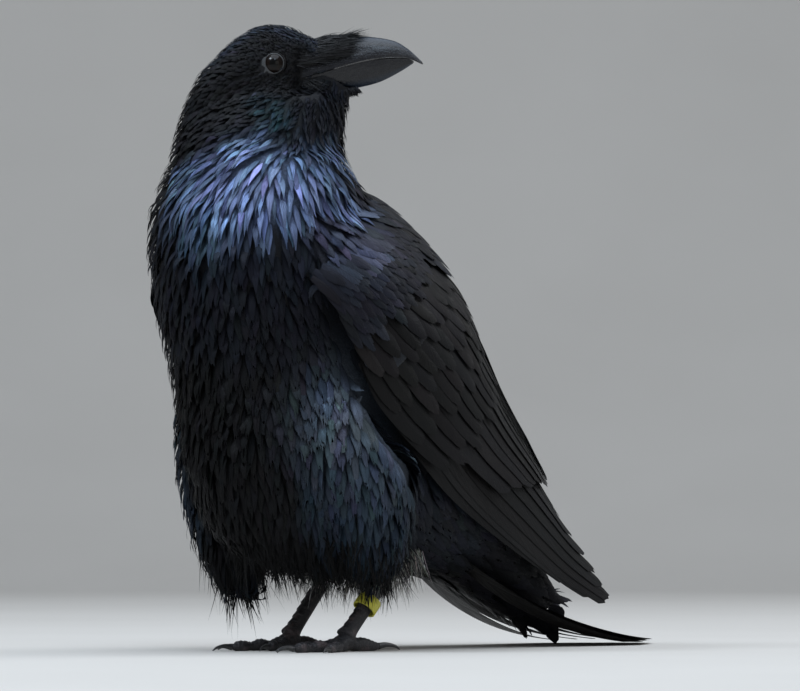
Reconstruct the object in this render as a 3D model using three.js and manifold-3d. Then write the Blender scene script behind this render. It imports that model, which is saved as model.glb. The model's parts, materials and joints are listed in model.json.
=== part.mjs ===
// A common raven, life size: it stands upright on both feet, looks back over its left shoulder,
// and its tail lies on the ground behind it.
// Millimetres. The bird's breast faces -Y, its left side is +X and up is +Z. The dimensions are given
// from a point on the ground between the feet; the finished group is then moved so that the origin is
// the centre of the bounding box's base.
import * as THREE from "three";
import { mergeVertices } from "three/addons/utils/BufferGeometryUtils.js";
import Module from "manifold-3d";

const wasm = await Module();
wasm.setup();

const GAP = 0.35; // clearance between neighbouring solids
const degrees = THREE.MathUtils.degToRad;
const { clamp, lerp, smoothstep } = THREE.MathUtils;
const SIDES = { left: 1, right: -1 };

// ---------------------------------------------------------------- driving dimensions

// Trunk: sections from the tail's root to the neck. Each is an ellipse between a point on the back
// and a point on the belly or breast, both as [y, z], with a half-width.
const TRUNK_SECTIONS = [
  { back: [202, 25], belly: [176, 9], halfWidth: 15 }, // tip of the tail coverts
  { back: [170, 62], belly: [136, 25], halfWidth: 26 },
  { back: [146, 102], belly: [98, 42], halfWidth: 36 }, // vent
  { back: [128, 136], belly: [62, 46], halfWidth: 47 },
  { back: [113, 166], belly: [18, 45], halfWidth: 56 },
  { back: [98, 196], belly: [-34, 47], halfWidth: 63 }, // belly
  { back: [80, 224], belly: [-76, 66], halfWidth: 67 },
  { back: [60, 246], belly: [-96, 112], halfWidth: 67 },
  { back: [38, 264], belly: [-101, 160], halfWidth: 68 }, // breast
  { back: [18, 276], belly: [-113, 210], halfWidth: 73 },
  { back: [3, 286], belly: [-115, 250], halfWidth: 70 }, // shoulders
  { back: [-3, 297], belly: [-107, 282], halfWidth: 63 },
  { back: [-6, 306], belly: [-98, 300], halfWidth: 45 }, // inside the neck
];

// Head: its own frame has its origin at the middle of the braincase, "ahead" towards the bill.
const HEAD = {
  at: [0, -50, 350],
  heading: degrees(40), // of the bill, from +X towards +Y: well back over the left shoulder
};
const HEAD_SECTIONS = [
  { ahead: -47, top: -24, bottom: -40, halfWidth: 12 }, // nape
  { ahead: -42, top: -13, bottom: -45, halfWidth: 20 },
  { ahead: -36, top: -1.5, bottom: -46, halfWidth: 25 },
  { ahead: -28, top: 6, bottom: -46, halfWidth: 27 },
  { ahead: -19, top: 15, bottom: -46, halfWidth: 28 },
  { ahead: -9, top: 23, bottom: -46, halfWidth: 27.5 },
  { ahead: 2, top: 27, bottom: -44, halfWidth: 26 }, // crown
  { ahead: 11, top: 27, bottom: -40, halfWidth: 23 }, // eyes
  { ahead: 20, top: 25, bottom: -36, halfWidth: 19.5 },
  { ahead: 30, top: 20.5, bottom: -31, halfWidth: 14.5 },
  { ahead: 40, top: 17, bottom: -27, halfWidth: 11.2 }, // forehead meets bill
  { ahead: 50, top: 4, bottom: -23, halfWidth: 8.6 }, // chin
  { ahead: 59, top: -9, bottom: -18, halfWidth: 6.5 },
  { ahead: 65, top: -12.5, bottom: -14, halfWidth: 3 },
];
// Neck: level sections from inside the breast to inside the head, as ellipses that turn with the head.
const NECK_SECTIONS = [
  { z: 268, ahead: -4, length: 54, width: 55 },
  { z: 286, ahead: -2.7, length: 54, width: 51 },
  { z: 302, ahead: -1.2, length: 52.8, width: 45 },
  { z: 317, ahead: 1.2, length: 52, width: 38 },
  { z: 329, ahead: 4.6, length: 50, width: 31 },
  { z: 339, ahead: 3, length: 42, width: 23 },
];
const NECK_BASE_Z = 283; // the cut between trunk and neck
const NECK_TOP_Z = 320; // the cut between neck and head

// Bill: profiles in the head's frame, as [ahead, up]. The hump on the culmen is the bristles that
// cover the bill's base.
const BILL = {
  start: 24,
  tip: 98.5,
  lowerTip: 93,
  halfWidth: 11,
  culmen: [
    [24, 12],
    [41, 16.6],
    [57, 20.8],
    [65, 18.8],
    [81, 15.6],
    [89, 10.8],
    [98.5, 2.2],
  ],
  edge: [
    [24, -8],
    [40, -3.4],
    [55, 0.9],
    [67, 3.8],
    [80, 4.7],
    [90, 4.4],
    [98.5, 0.8],
  ],
  keel: [
    [24, -16],
    [42, -15],
    [56, -13],
    [72, -9.2],
    [84.5, -3.1],
    [93, 2.2],
  ],
};
const EYE = { ahead: 11.3, up: 0.8, out: 15.6, radius: 8.2 };

// Wing: three rails on the left wing's outer surface, from the bend of the wing to its tip.
const WING_RAILS = {
  lower: [
    [62, -88, 232],
    [80, -68, 212],
    [82, -46, 176],
    [77, -16, 140],
    [70, 28, 108],
    [59, 84, 78],
    [47, 144, 50],
    [36, 206, 25],
    [25, 262, 9],
  ],
  middle: [
    [71, -70, 254],
    [80, -30, 244],
    [76, 14, 221],
    [69, 52, 192],
    [59, 82, 160],
    [49, 116, 128],
    [38, 158, 92],
    [27, 210, 50],
    [17, 262, 16],
  ],
  upper: [
    [56, -48, 272],
    [36, 6, 274],
    [20, 54, 257],
    [12, 89, 231],
    [9, 113, 197],
    [8, 138, 156],
    [8, 168, 112],
    [8, 210, 64],
    [9, 262, 21],
  ],
};
// Its rows of feathers: where each starts and ends is a share of the way from bend to tip, and "low"
// and "high" are the row's lower and upper edges.
const COVERTS = {
  feathers: 7,
  start: 0.006,
  end: 0.5,
  skew: 0.1, // how much further the upper edge reaches than the lower
  frontThickness: 10,
  rearThickness: 1.6,
  scallop: 0.018,
};
const SECONDARIES = {
  feathers: 9,
  start: 0.28,
  from: 0.2, // the height across the wing at which the row begins
  lowTip: 0.64,
  highTip: 0.78,
  thickness: 1.7,
  scallop: 0.02,
};
const PRIMARIES = {
  feathers: 7,
  start: 0.3,
  reach: 0.74, // the height across the wing that the row fills before it narrows to the tip
  longest: 0.3, // the longest feather's place in the row
  lowTip: 0.79,
  highTip: 0.89,
  thickness: 1.8,
  scallop: 0.016,
};
const FEATHER_RELIEF = 0.9; // how far a flight feather's edges lie below its shaft
const ROW_GAP = 1; // between one row of feathers and the next

// Tail: a fan that leaves the body steeply and bends until it lies along the ground.
const TAIL = {
  root: [62, 79],
  length: 236,
  rootPitch: degrees(36.6),
  endPitch: degrees(3.2),
  feathers: 12,
  rootHalfWidth: 17,
  endHalfWidth: 42,
  outerShare: 0.8, // the outermost feather's length as a share of the middle ones'
  sag: 9, // how far the sides hang below the middle, halfway along
  thickness: 2.4,
  scallop: 5,
};

// Legs and feet. The right thigh's feathers hang lower and further forward than the left one's.
const THIGH_SECTIONS = {
  left: [
    { at: [43, -18, 168], across: 24, along: 42 },
    { at: [49, -17, 138], across: 28, along: 44 },
    { at: [50, -14, 108], across: 28, along: 41 },
    { at: [47, -6, 80], across: 24, along: 34 },
    { at: [41, 4, 58], across: 16, along: 24 },
    { at: [36, 10, 43], across: 9, along: 13 },
  ],
  right: [
    { at: [-42, -26, 168], across: 24, along: 42 },
    { at: [-48, -28, 138], across: 28, along: 44 },
    { at: [-50, -28, 108], across: 28, along: 41 },
    { at: [-48, -30, 82], across: 25, along: 33 },
    { at: [-45, -32, 58], across: 19, along: 25 },
    { at: [-41, -31, 34], across: 9, along: 13 },
  ],
};
const TARSUS = { ankle: [27, 38, 56], foot: [25, -4, 8], halfWidth: 4.3, halfDepth: 5.4 };
const TOE_FLAT = 0.8; // how far a toe's pads are pressed flat
const TOE_ARCH = 0.8; // how far its root is lifted
const TOES = [
  { name: "hind", angle: 178, length: 27, radius: 4.5, pads: 1, claw: 19 },
  { name: "inner", angle: -24, length: 31, radius: 3.9, pads: 2, claw: 14 },
  { name: "middle", angle: 4, length: 45, radius: 4, pads: 3, claw: 15 },
  { name: "outer", angle: 31, length: 33, radius: 3.7, pads: 3, claw: 12.5 },
];
const RING = { inner: 6.3, outer: 7.5, height: 8, lip: 0.25, share: 0.5 }; // share: down the shank

const finish = (color, roughness) => new THREE.MeshStandardMaterial({ color, roughness, metalness: 0 });
const FINISHES = {
  plumage: finish(0x111318, 0.6),
  flightFeathers: finish(0x15151a, 0.45),
  bill: finish(0x202126, 0.35),
  eye: finish(0x0a0706, 0.05),
  legSkin: finish(0x17161a, 0.55),
  claw: finish(0x141416, 0.35),
  ring: finish(0xc9c232, 0.4),
};

// ---------------------------------------------------------------- shape helpers

const vector = (...p) => new THREE.Vector3(...p);

// A smooth curve through points, read by a share from 0 to 1.
function railThrough(points) {
  const curve = new THREE.CatmullRomCurve3(points.map((p) => vector(...p)), false, "centripetal");
  return (share) => curve.getPoint(clamp(share, 0, 1));
}

// Smoothly varying numbers: one value of each section, read by a share from 0 to 1.
function valuesThrough(sections, key) {
  const last = sections.length - 1;
  const at = (i) => sections[clamp(i, 0, last)][key];
  const slope = (i) => (at(i + 1) - at(i - 1)) / 2;
  return (share) => {
    const place = clamp(share, 0, 1) * last;
    const i = Math.min(Math.floor(place), last - 1);
    const t = place - i;
    const rise = t * t * (3 - 2 * t);
    return lerp(at(i), at(i + 1), rise) + slope(i) * t * (1 - t) ** 2 - slope(i + 1) * t * t * (1 - t);
  };
}

// A smooth profile through [ahead, up] points, read by its distance ahead.
function profileThrough(points) {
  const rail = railThrough(points.map(([ahead, up]) => [ahead, up, 0]));
  const samples = Array.from({ length: 61 }, (_, i) => rail(i / 60));
  return (ahead) => {
    const next = clamp(samples.findIndex((p) => p.x >= ahead), 1, samples.length - 1);
    const [a, b] = ahead > samples.at(-1).x ? samples.slice(-2) : samples.slice(next - 1, next + 1);
    return lerp(a.y, b.y, clamp((ahead - a.x) / (b.x - a.x), 0, 1));
  };
}

// A closed three.js geometry as a solid, after place() has moved each of its vertices.
function solidFrom(geometry, place) {
  const bare = geometry.clone();
  bare.deleteAttribute("normal");
  bare.deleteAttribute("uv");
  const closed = mergeVertices(bare, 1e-5);
  const position = closed.getAttribute("position");
  for (let i = 0; i < position.count; i++) {
    const moved = place(vector().fromBufferAttribute(position, i));
    position.setXYZ(i, moved.x, moved.y, moved.z);
  }
  const triVerts = Uint32Array.from(closed.index.array);
  const build = () =>
    new wasm.Manifold(new wasm.Mesh({ numProp: 3, vertProperties: position.array, triVerts }));
  const solid = build();
  if (solid.volume() > 0) return solid;
  for (let i = 0; i < triVerts.length; i += 3) {
    [triVerts[i + 1], triVerts[i + 2]] = [triVerts[i + 2], triVerts[i + 1]];
  }
  return build();
}

// A cylinder with closed ends, each vertex placed by its share along it, its angle, and 1 on the side
// or 0 on the axis.
function sweptSolid(around, along, place) {
  return solidFrom(new THREE.CylinderGeometry(1, 1, 1, around, along), (p) =>
    place(p.y + 0.5, Math.atan2(p.z, p.x), Math.min(1, Math.hypot(p.x, p.z))),
  );
}

// A thin plate, each vertex placed by its shares across and along, and 1 on the outer face or 0 inside.
function plateSolid(across, along, place) {
  return solidFrom(new THREE.BoxGeometry(1, 1, 1, across, along, 1), (p) =>
    place(p.x + 0.5, p.y + 0.5, p.z + 0.5),
  );
}

// A tube along a rail: radii(share) gives its half-width and half-height, and the latter leans to "up".
function alongTube(rail, radii, up) {
  const step = 0.01;
  return (share, angle, r) => {
    const ahead = rail(share + step).sub(rail(share - step)).normalize();
    const across = vector().crossVectors(ahead, up).normalize();
    const normal = vector().crossVectors(across, ahead);
    const [halfWidth, halfHeight] = radii(share);
    return rail(share)
      .addScaledVector(across, r * halfWidth * Math.cos(angle))
      .addScaledVector(normal, r * halfHeight * Math.sin(angle));
  };
}

// Shapes are described for the left side; this places them on either.
const onSide = (side, place) => (...shares) => {
  const p = place(...shares);
  return p.setX(p.x * SIDES[side]);
};

const ROOM = 900; // larger than the bird
function slice(solid, lowZ, highZ) {
  const slab = new THREE.BoxGeometry(ROOM, ROOM, highZ - lowZ);
  return solid.intersect(solidFrom(slab, (p) => p.add(vector(0, 0, (lowZ + highZ) / 2))));
}
const onGround = (solid) => slice(solid, 0, ROOM);
const without = (solid, others) => others.reduce((left, other) => left.subtract(other), solid);
// A cut can leave crumbs beside the piece that is wanted.
const largestBody = (solid) =>
  solid.decompose().reduce((best, body) => (body.volume() > best.volume() ? body : best));

// ---------------------------------------------------------------- body under its feathers

function trunkSolid() {
  const back = railThrough(TRUNK_SECTIONS.map((s) => [0, ...s.back]));
  const belly = railThrough(TRUNK_SECTIONS.map((s) => [0, ...s.belly]));
  const halfWidth = valuesThrough(TRUNK_SECTIONS, "halfWidth");
  return sweptSolid(20, 14, (share, angle, r) => {
    const middle = back(share).add(belly(share)).multiplyScalar(0.5);
    const half = back(share).sub(middle);
    middle.x = r * halfWidth(share) * Math.cos(angle);
    return middle.addScaledVector(half, r * Math.sin(angle));
  });
}

// A point given in the head's frame: ahead, out to the left of the head, and up.
const headAhead = vector(Math.cos(HEAD.heading), Math.sin(HEAD.heading), 0);
const headOut = vector(-Math.sin(HEAD.heading), Math.cos(HEAD.heading), 0);
function onHead(ahead, out, up) {
  return vector(...HEAD.at)
    .addScaledVector(headAhead, ahead)
    .addScaledVector(headOut, out)
    .add(vector(0, 0, up));
}

function headSolid() {
  const [ahead, top, bottom, halfWidth] = ["ahead", "top", "bottom", "halfWidth"].map((key) =>
    valuesThrough(HEAD_SECTIONS, key),
  );
  return sweptSolid(16, 12, (share, angle, r) => {
    const middle = (top(share) + bottom(share)) / 2;
    const half = (top(share) - bottom(share)) / 2;
    const out = r * halfWidth(share) * Math.cos(angle);
    return onHead(ahead(share), out, middle + r * half * Math.sin(angle));
  });
}

function neckSolid() {
  const [z, ahead, length, width] = ["z", "ahead", "length", "width"].map((key) =>
    valuesThrough(NECK_SECTIONS, key),
  );
  return sweptSolid(20, 5, (share, angle, r) => {
    const along = ahead(share) + r * length(share) * Math.cos(angle);
    return onHead(along, r * width(share) * Math.sin(angle), 0).setZ(z(share));
  });
}

function thighSolid(side, grow = 0) {
  const sections = THIGH_SECTIONS[side];
  const rail = railThrough(sections.map((s) => s.at));
  const across = valuesThrough(sections, "across");
  const along = valuesThrough(sections, "along");
  return sweptSolid(14, 6, (share, angle, r) => {
    const place = rail(share);
    place.z += (0.5 - share) * 2 * grow;
    place.x += r * (across(share) + grow) * Math.cos(angle);
    place.y += r * (along(share) + grow) * Math.sin(angle);
    return place;
  });
}

// ---------------------------------------------------------------- bill and eyes

const culmen = profileThrough(BILL.culmen);
const billEdge = profileThrough(BILL.edge);
const keel = profileThrough(BILL.keel);

function billHalfWidth(ahead) {
  const share = clamp((ahead - BILL.start) / (BILL.tip - BILL.start), 0, 1);
  return 0.6 + (BILL.halfWidth - 0.6) * (1 - share ** 1.5) ** 0.75;
}

// Half of the closed bill, from its cutting edge up to the culmen or down to the keel.
function billSolid(outline, upwards, tip, grow = 0) {
  return sweptSolid(12, 9, (share, angle, r) => {
    const ahead = lerp(BILL.start - grow, tip + grow, share);
    const flat = billEdge(ahead) + upwards * (GAP / 2 - grow);
    const height = Math.max(0.6, upwards * (outline(ahead) - flat) + grow);
    const arch = Math.max(0, Math.sin(angle)) ** 0.8;
    const width = (billHalfWidth(ahead) + grow) * (1 - 0.25 * arch);
    const up = flat + upwards * height * (0.35 * (1 - r) + r * arch);
    return onHead(ahead, r * width * Math.cos(angle), up);
  });
}
const upperBill = (grow) => billSolid(culmen, 1, BILL.tip, grow);
const lowerBill = (grow) => billSolid(keel, -1, BILL.lowerTip, grow);

function eyeSolid(side, grow = 0) {
  return solidFrom(new THREE.SphereGeometry(EYE.radius + grow, 10, 7), (p) =>
    p.add(onHead(EYE.ahead, SIDES[side] * EYE.out, EYE.up)),
  );
}

// ---------------------------------------------------------------- wings

const wingRails = [WING_RAILS.lower, WING_RAILS.middle, WING_RAILS.upper].map(railThrough);

// The left wing's outer surface: share along it from bend to tip, height from its lower to upper edge.
function wingSurface(share, height) {
  const weights = [(1 - height) * (1 - 2 * height), 4 * height * (1 - height), height * (2 * height - 1)];
  const place = vector();
  wingRails.forEach((rail, i) => place.addScaledVector(rail(share), weights[i]));
  return place;
}

// A point below that surface by some depth.
function underWing(share, height, depth) {
  const step = 0.02;
  const along = wingSurface(share + step, height).sub(wingSurface(share - step, height));
  const up = wingSurface(share, height + step).sub(wingSurface(share, height - step));
  const inward = vector().crossVectors(up, along).normalize();
  if (inward.x > 0) inward.negate();
  return wingSurface(share, height).addScaledVector(inward, depth);
}

// 1 at the edges between a row's feathers and 0 along their shafts.
const featherEdge = (across, feathers) => Math.abs(Math.cos(Math.PI * across * feathers));

function covertThickness(share) {
  const { frontThickness, rearThickness, end } = COVERTS;
  const front = lerp(3, frontThickness, smoothstep(share, 0, 0.08));
  return lerp(front, rearThickness, clamp((share - 0.1) / (end - 0.1), 0, 1));
}
// How deep the two rows of flight feathers lie; each comes to the surface past the row that covers it.
function secondaryDepth(share) {
  return (covertThickness(share) + ROW_GAP) * (1 - smoothstep(share, 0.57, 0.72));
}
function primaryDepth(share) {
  const row = SECONDARIES.thickness + FEATHER_RELIEF + ROW_GAP;
  return secondaryDepth(share) + row * (1 - smoothstep(share, 0.79, 0.88));
}

// Where the wing's rounded bend begins and ends across it, as shares of its height.
function bendHeight(share, across, margin = 0) {
  const spread = Math.sqrt(smoothstep(share, -0.02, 0.13));
  return lerp(lerp(0.42, 0, spread) - margin, lerp(0.72, 1, spread) + margin, across);
}

// Coverts: thick over the arm, thin where they lie on the flight feathers.
function covertsSolid(side) {
  const { feathers, start, end, skew, scallop } = COVERTS;
  const place = (across, along, outer) => {
    const tip = end + skew * (across - 0.5) - scallop * featherEdge(across, feathers);
    const share = lerp(start, tip, along);
    return underWing(share, bendHeight(share, across), outer ? 0 : covertThickness(share));
  };
  return plateSolid(2 * feathers, 6, onSide(side, place));
}

// A row of flight feathers: tipAt(across) is where each ends, depthAt(share) how deep the row lies.
function flightRow(side, row, from, to, tipAt, depthAt) {
  const { feathers, start, thickness, scallop } = row;
  const place = (across, along, outer) => {
    const edge = featherEdge(across, feathers);
    const share = lerp(start, tipAt(across) - scallop * edge, along);
    const depth = depthAt(share) + FEATHER_RELIEF * edge + (outer ? 0 : thickness * (1 - 0.5 * edge));
    return underWing(share, lerp(from, to(share), across), depth);
  };
  return plateSolid(2 * feathers, 4, onSide(side, place));
}

function secondariesSolid(side) {
  const { from, lowTip, highTip } = SECONDARIES;
  const tipAt = (across) => lerp(lowTip, highTip, Math.sin((across * Math.PI) / 2));
  return flightRow(side, SECONDARIES, from, () => 1, tipAt, secondaryDepth);
}

function primariesSolid(side) {
  const { reach, longest, lowTip, highTip } = PRIMARIES;
  const tipAt = (across) => {
    const fall = across < longest ? (1 - across / longest) ** 2 : ((across - longest) / (1 - longest)) ** 1.2;
    return lerp(highTip, lowTip, fall);
  };
  const to = (share) =>
    lerp(0.6, reach, smoothstep(share, 0.4, 0.75)) * (1 - 0.8 * clamp((share - 0.785) / 0.11, 0, 1));
  return flightRow(side, PRIMARIES, 0.02, to, tipAt, primaryDepth);
}

// The hollow that a wing needs in the body beneath it.
function wingBed(side) {
  const clearance = 1.5;
  const margin = 0.02; // past the wing's upper and lower edges
  const place = (across, along, outer) => {
    const flightFeathers = primaryDepth(along) + PRIMARIES.thickness + FEATHER_RELIEF;
    const filled = along < SECONDARIES.start - 0.05 ? covertThickness(along) : flightFeathers;
    return underWing(along, bendHeight(along, across, margin), outer ? -2 * clearance : filled + clearance);
  };
  return plateSolid(8, 12, onSide(side, place));
}

// ---------------------------------------------------------------- tail

// The tail's middle line and its slope, at a distance from its root.
function tailLine(distance) {
  const pitchAt = (d) => lerp(TAIL.rootPitch, TAIL.endPitch, d / TAIL.length);
  const steps = 40;
  let [y, z] = TAIL.root;
  for (let i = 0; i < steps; i++) {
    const pitch = pitchAt((distance * (i + 0.5)) / steps);
    y += (Math.cos(pitch) * distance) / steps;
    z -= (Math.sin(pitch) * distance) / steps;
  }
  return { y, z, pitch: pitchAt(distance) };
}

function onTail(distance, across, lift) {
  const share = distance / TAIL.length;
  const { y, z, pitch } = tailLine(distance);
  const halfWidth = lerp(TAIL.rootHalfWidth, TAIL.endHalfWidth, Math.sin((share * Math.PI) / 2));
  const rise = lift - TAIL.sag * across * across * Math.sin(share * Math.PI);
  return vector(across * halfWidth, y + rise * Math.sin(pitch), z + rise * Math.cos(pitch));
}

function tailSolid() {
  return plateSolid(2 * TAIL.feathers, 5, (u, along, outer) => {
    const across = 2 * u - 1;
    const edge = featherEdge(u, TAIL.feathers);
    const wedge = lerp(1, TAIL.outerShare, Math.abs(across) ** 1.6);
    const distance = along * (TAIL.length * wedge - TAIL.scallop * edge);
    return onTail(distance, across, outer ? TAIL.thickness - FEATHER_RELIEF * edge : 0);
  });
}

// The hollow that the tail needs in the body.
function tailBed() {
  const clearance = 1.2;
  return plateSolid(8, 5, (u, along, outer) => {
    const across = (2 * u - 1) * (1 + clearance / TAIL.rootHalfWidth);
    const distance = lerp(-clearance, TAIL.length, along);
    return onTail(distance, across, outer ? TAIL.thickness + clearance : -clearance);
  });
}

// ---------------------------------------------------------------- legs, feet and ring

// The bare shank, from the ankle down to the foot.
function shankRail(grow = 0) {
  const [ankle, foot] = [vector(...TARSUS.ankle), vector(...TARSUS.foot)];
  const bow = ankle.clone().lerp(foot, 0.55).add(vector(0, -1.5, -1.5));
  const rail = railThrough([ankle, bow, foot].map((p) => p.toArray()));
  const down = foot.clone().sub(ankle).normalize();
  return (share) => rail(share).addScaledVector(down, grow * (2 * share - 1));
}

function shankSolid(side, grow = 0) {
  const radii = (share) => {
    const ankle = 1.6 * Math.exp(-(((share - 0.02) / 0.08) ** 2));
    const foot = 2.4 * Math.exp(-(((share - 1) / 0.1) ** 2));
    return [TARSUS.halfWidth + ankle + foot + grow, TARSUS.halfDepth + ankle + 0.4 * foot + grow];
  };
  return sweptSolid(8, 7, onSide(side, alongTube(shankRail(grow), radii, vector(0, 1, 0))));
}

const toeStart = vector(TARSUS.foot[0], TARSUS.foot[1], 0);
const toeAhead = (toe) => vector(Math.sin(degrees(toe.angle)), -Math.cos(degrees(toe.angle)), 0);

// A toe swells at its pads and narrows towards its claw.
function toeRadius(toe, share) {
  const pads = 0.1 * Math.cos(Math.PI * (2 * share * toe.pads + 1));
  return toe.radius * (1 - 0.24 * share) * (1 + pads);
}

function toeSolid(side, toe, grow = 0) {
  const rail = (share) => {
    const reach = lerp(-grow, toe.length + grow, share);
    const place = toeStart.clone().addScaledVector(toeAhead(toe), reach);
    return place.setZ(toeRadius(toe, share) - TOE_FLAT + TOE_ARCH * (1 - share) ** 2);
  };
  const radii = (share) => {
    const roundedEnd = lerp(0.5, 1, Math.sqrt(1 - smoothstep(share, 0.86, 1)));
    return Array(2).fill(toeRadius(toe, share) * roundedEnd + grow);
  };
  return sweptSolid(6, toe.pads + 3, onSide(side, alongTube(rail, radii, vector(0, 0, 1))));
}

function clawSolid(side, toe) {
  const base = toeRadius(toe, 1) * 0.72;
  const from = toeStart.clone().addScaledVector(toeAhead(toe), toe.length + GAP);
  const point = (reach, z) => from.clone().addScaledVector(toeAhead(toe), reach * toe.claw).setZ(z).toArray();
  const baseZ = toeRadius(toe, 1) - TOE_FLAT + 0.4;
  const arch = [point(0, baseZ), point(0.36, baseZ * 1.35), point(0.7, baseZ * 0.9), point(0.86, 0.6)];
  const rail = railThrough(arch);
  const radii = (share) => {
    const radius = lerp(base, 0.35, share ** 0.9);
    return [radius * 0.8, radius];
  };
  return sweptSolid(5, 4, onSide(side, alongTube(rail, radii, vector(0, 0, 1))));
}

function ringSolid() {
  const { inner, outer, height, lip, share } = RING;
  const top = height / 2;
  const profile = [
    [inner, lip - top],
    [inner + lip, -top],
    [outer - lip, -top],
    [outer, lip - top],
    [outer, top - lip],
    [outer - lip, top],
    [inner + lip, top],
    [inner, top - lip],
    [inner, lip - top],
  ];
  const rail = shankRail();
  const lean = rail(share - 0.1).sub(rail(share + 0.1)).normalize();
  const turn = new THREE.Quaternion().setFromUnitVectors(vector(0, 1, 0), lean);
  const lathe = new THREE.LatheGeometry(profile.map((p) => new THREE.Vector2(...p)), 10);
  return solidFrom(lathe, (p) => p.applyQuaternion(turn).add(rail(share)));
}

// ---------------------------------------------------------------- the bird, part by part

const bird = new THREE.Group();

function addPart(name, solid, material) {
  const { vertProperties, triVerts } = solid.getMesh();
  const geometry = new THREE.BufferGeometry();
  geometry.setAttribute("position", new THREE.BufferAttribute(vertProperties, 3));
  geometry.setIndex(new THREE.BufferAttribute(triVerts, 1));
  geometry.computeVertexNormals();
  const part = new THREE.Mesh(geometry, material);
  part.name = name;
  bird.add(part);
}

const sides = Object.keys(SIDES);
const wingBeds = sides.map(wingBed);
const shankBeds = sides.map((side) => shankSolid(side, GAP));
const thighBeds = sides.map((side) => thighSolid(side, GAP));
const faceBeds = [upperBill(GAP), lowerBill(GAP), ...sides.map((side) => eyeSolid(side, GAP))];

const body = trunkSolid().add(neckSolid()).add(headSolid());
const head = without(slice(body, NECK_TOP_Z + GAP / 2, ROOM), faceBeds);
const neck = slice(body, NECK_BASE_Z + GAP / 2, NECK_TOP_Z - GAP / 2);
const trunk = slice(body, 0, NECK_BASE_Z - GAP / 2);
addPart("head", largestBody(head), FINISHES.plumage);
addPart("neck", largestBody(neck), FINISHES.plumage);
const trunkBeds = [...wingBeds, ...thighBeds, ...shankBeds, tailBed()];
addPart("trunk", largestBody(without(trunk, trunkBeds)), FINISHES.plumage);
addPart("bill_upper", upperBill(), FINISHES.bill);
addPart("bill_lower", lowerBill(), FINISHES.bill);
addPart("tail", onGround(tailSolid()), FINISHES.flightFeathers);

for (const side of sides) {
  addPart(`eye_${side}`, eyeSolid(side), FINISHES.eye);
  addPart(`wing_${side}`, covertsSolid(side), FINISHES.plumage);
  addPart(`secondaries_${side}`, secondariesSolid(side), FINISHES.flightFeathers);
  addPart(`primaries_${side}`, primariesSolid(side), FINISHES.flightFeathers);
  const thigh = without(thighSolid(side), [...wingBeds, ...shankBeds]);
  addPart(`thigh_${side}`, largestBody(thigh), FINISHES.plumage);
  addPart(`tarsus_${side}`, onGround(shankSolid(side)), FINISHES.legSkin);
  const taken = [shankSolid(side, GAP)];
  for (const toe of TOES) {
    const toePiece = without(onGround(toeSolid(side, toe)), taken);
    addPart(`toe_${toe.name}_${side}`, largestBody(toePiece), FINISHES.legSkin);
    addPart(`claw_${toe.name}_${side}`, onGround(clawSolid(side, toe)), FINISHES.claw);
    taken.push(toeSolid(side, toe, GAP));
  }
}
addPart("leg_ring", ringSolid(), FINISHES.ring);

const extent = new THREE.Box3().setFromObject(bird);
const centre = extent.getCenter(vector());
bird.position.set(-centre.x, -centre.y, -extent.min.z);

export default bird;
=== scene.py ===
"""A life-size, still common raven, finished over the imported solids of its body.

The tables below are in millimetres and in the bird's own frame: the origin is on the ground between its
feet, +X is its left side, -Y the way its breast faces and +Z up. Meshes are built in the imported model's
frame, in metres.
"""

import json
import math

import bpy
import numpy as np
from bpy.props import FloatProperty, FloatVectorProperty, PointerProperty
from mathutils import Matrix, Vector
from mathutils.bvhtree import BVHTree
from mathutils.kdtree import KDTree

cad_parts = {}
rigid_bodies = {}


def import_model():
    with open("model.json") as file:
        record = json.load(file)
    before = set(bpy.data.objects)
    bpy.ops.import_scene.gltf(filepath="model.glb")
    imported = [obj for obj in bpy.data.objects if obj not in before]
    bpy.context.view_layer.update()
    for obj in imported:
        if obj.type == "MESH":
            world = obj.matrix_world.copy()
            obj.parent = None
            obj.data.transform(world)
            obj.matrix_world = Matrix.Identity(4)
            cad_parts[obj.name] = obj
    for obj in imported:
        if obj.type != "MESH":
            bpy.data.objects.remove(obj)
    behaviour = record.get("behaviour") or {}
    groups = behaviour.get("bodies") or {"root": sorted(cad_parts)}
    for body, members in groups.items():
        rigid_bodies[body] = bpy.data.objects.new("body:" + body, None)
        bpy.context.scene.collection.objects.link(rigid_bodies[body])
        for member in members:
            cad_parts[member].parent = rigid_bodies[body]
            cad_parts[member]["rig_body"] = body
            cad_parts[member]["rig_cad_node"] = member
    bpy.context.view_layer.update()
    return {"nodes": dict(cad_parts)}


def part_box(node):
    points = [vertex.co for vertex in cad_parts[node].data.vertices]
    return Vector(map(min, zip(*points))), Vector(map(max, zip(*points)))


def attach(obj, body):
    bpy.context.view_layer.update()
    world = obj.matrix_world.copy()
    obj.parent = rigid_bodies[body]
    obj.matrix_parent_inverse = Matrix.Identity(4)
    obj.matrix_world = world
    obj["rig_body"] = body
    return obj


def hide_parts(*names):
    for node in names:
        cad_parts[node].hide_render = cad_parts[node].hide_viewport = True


bl_info = {
    "name": "Raven Maker",
    "version": (1, 0, 0),
    "blender": (4, 5, 0),
    "location": "View3D > Sidebar > Raven",
    "description": "Finishes a still, life-size raven: skin, feathers, bill, eyes, feet and leg ring",
    "category": "Object",
}

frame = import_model()

MM = 0.001
SIDES = {"left": 1, "right": -1}
MIRROR = np.array([-1, 1, 1])

# ---------------------------------------------------------------- the solids' driving dimensions

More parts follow.
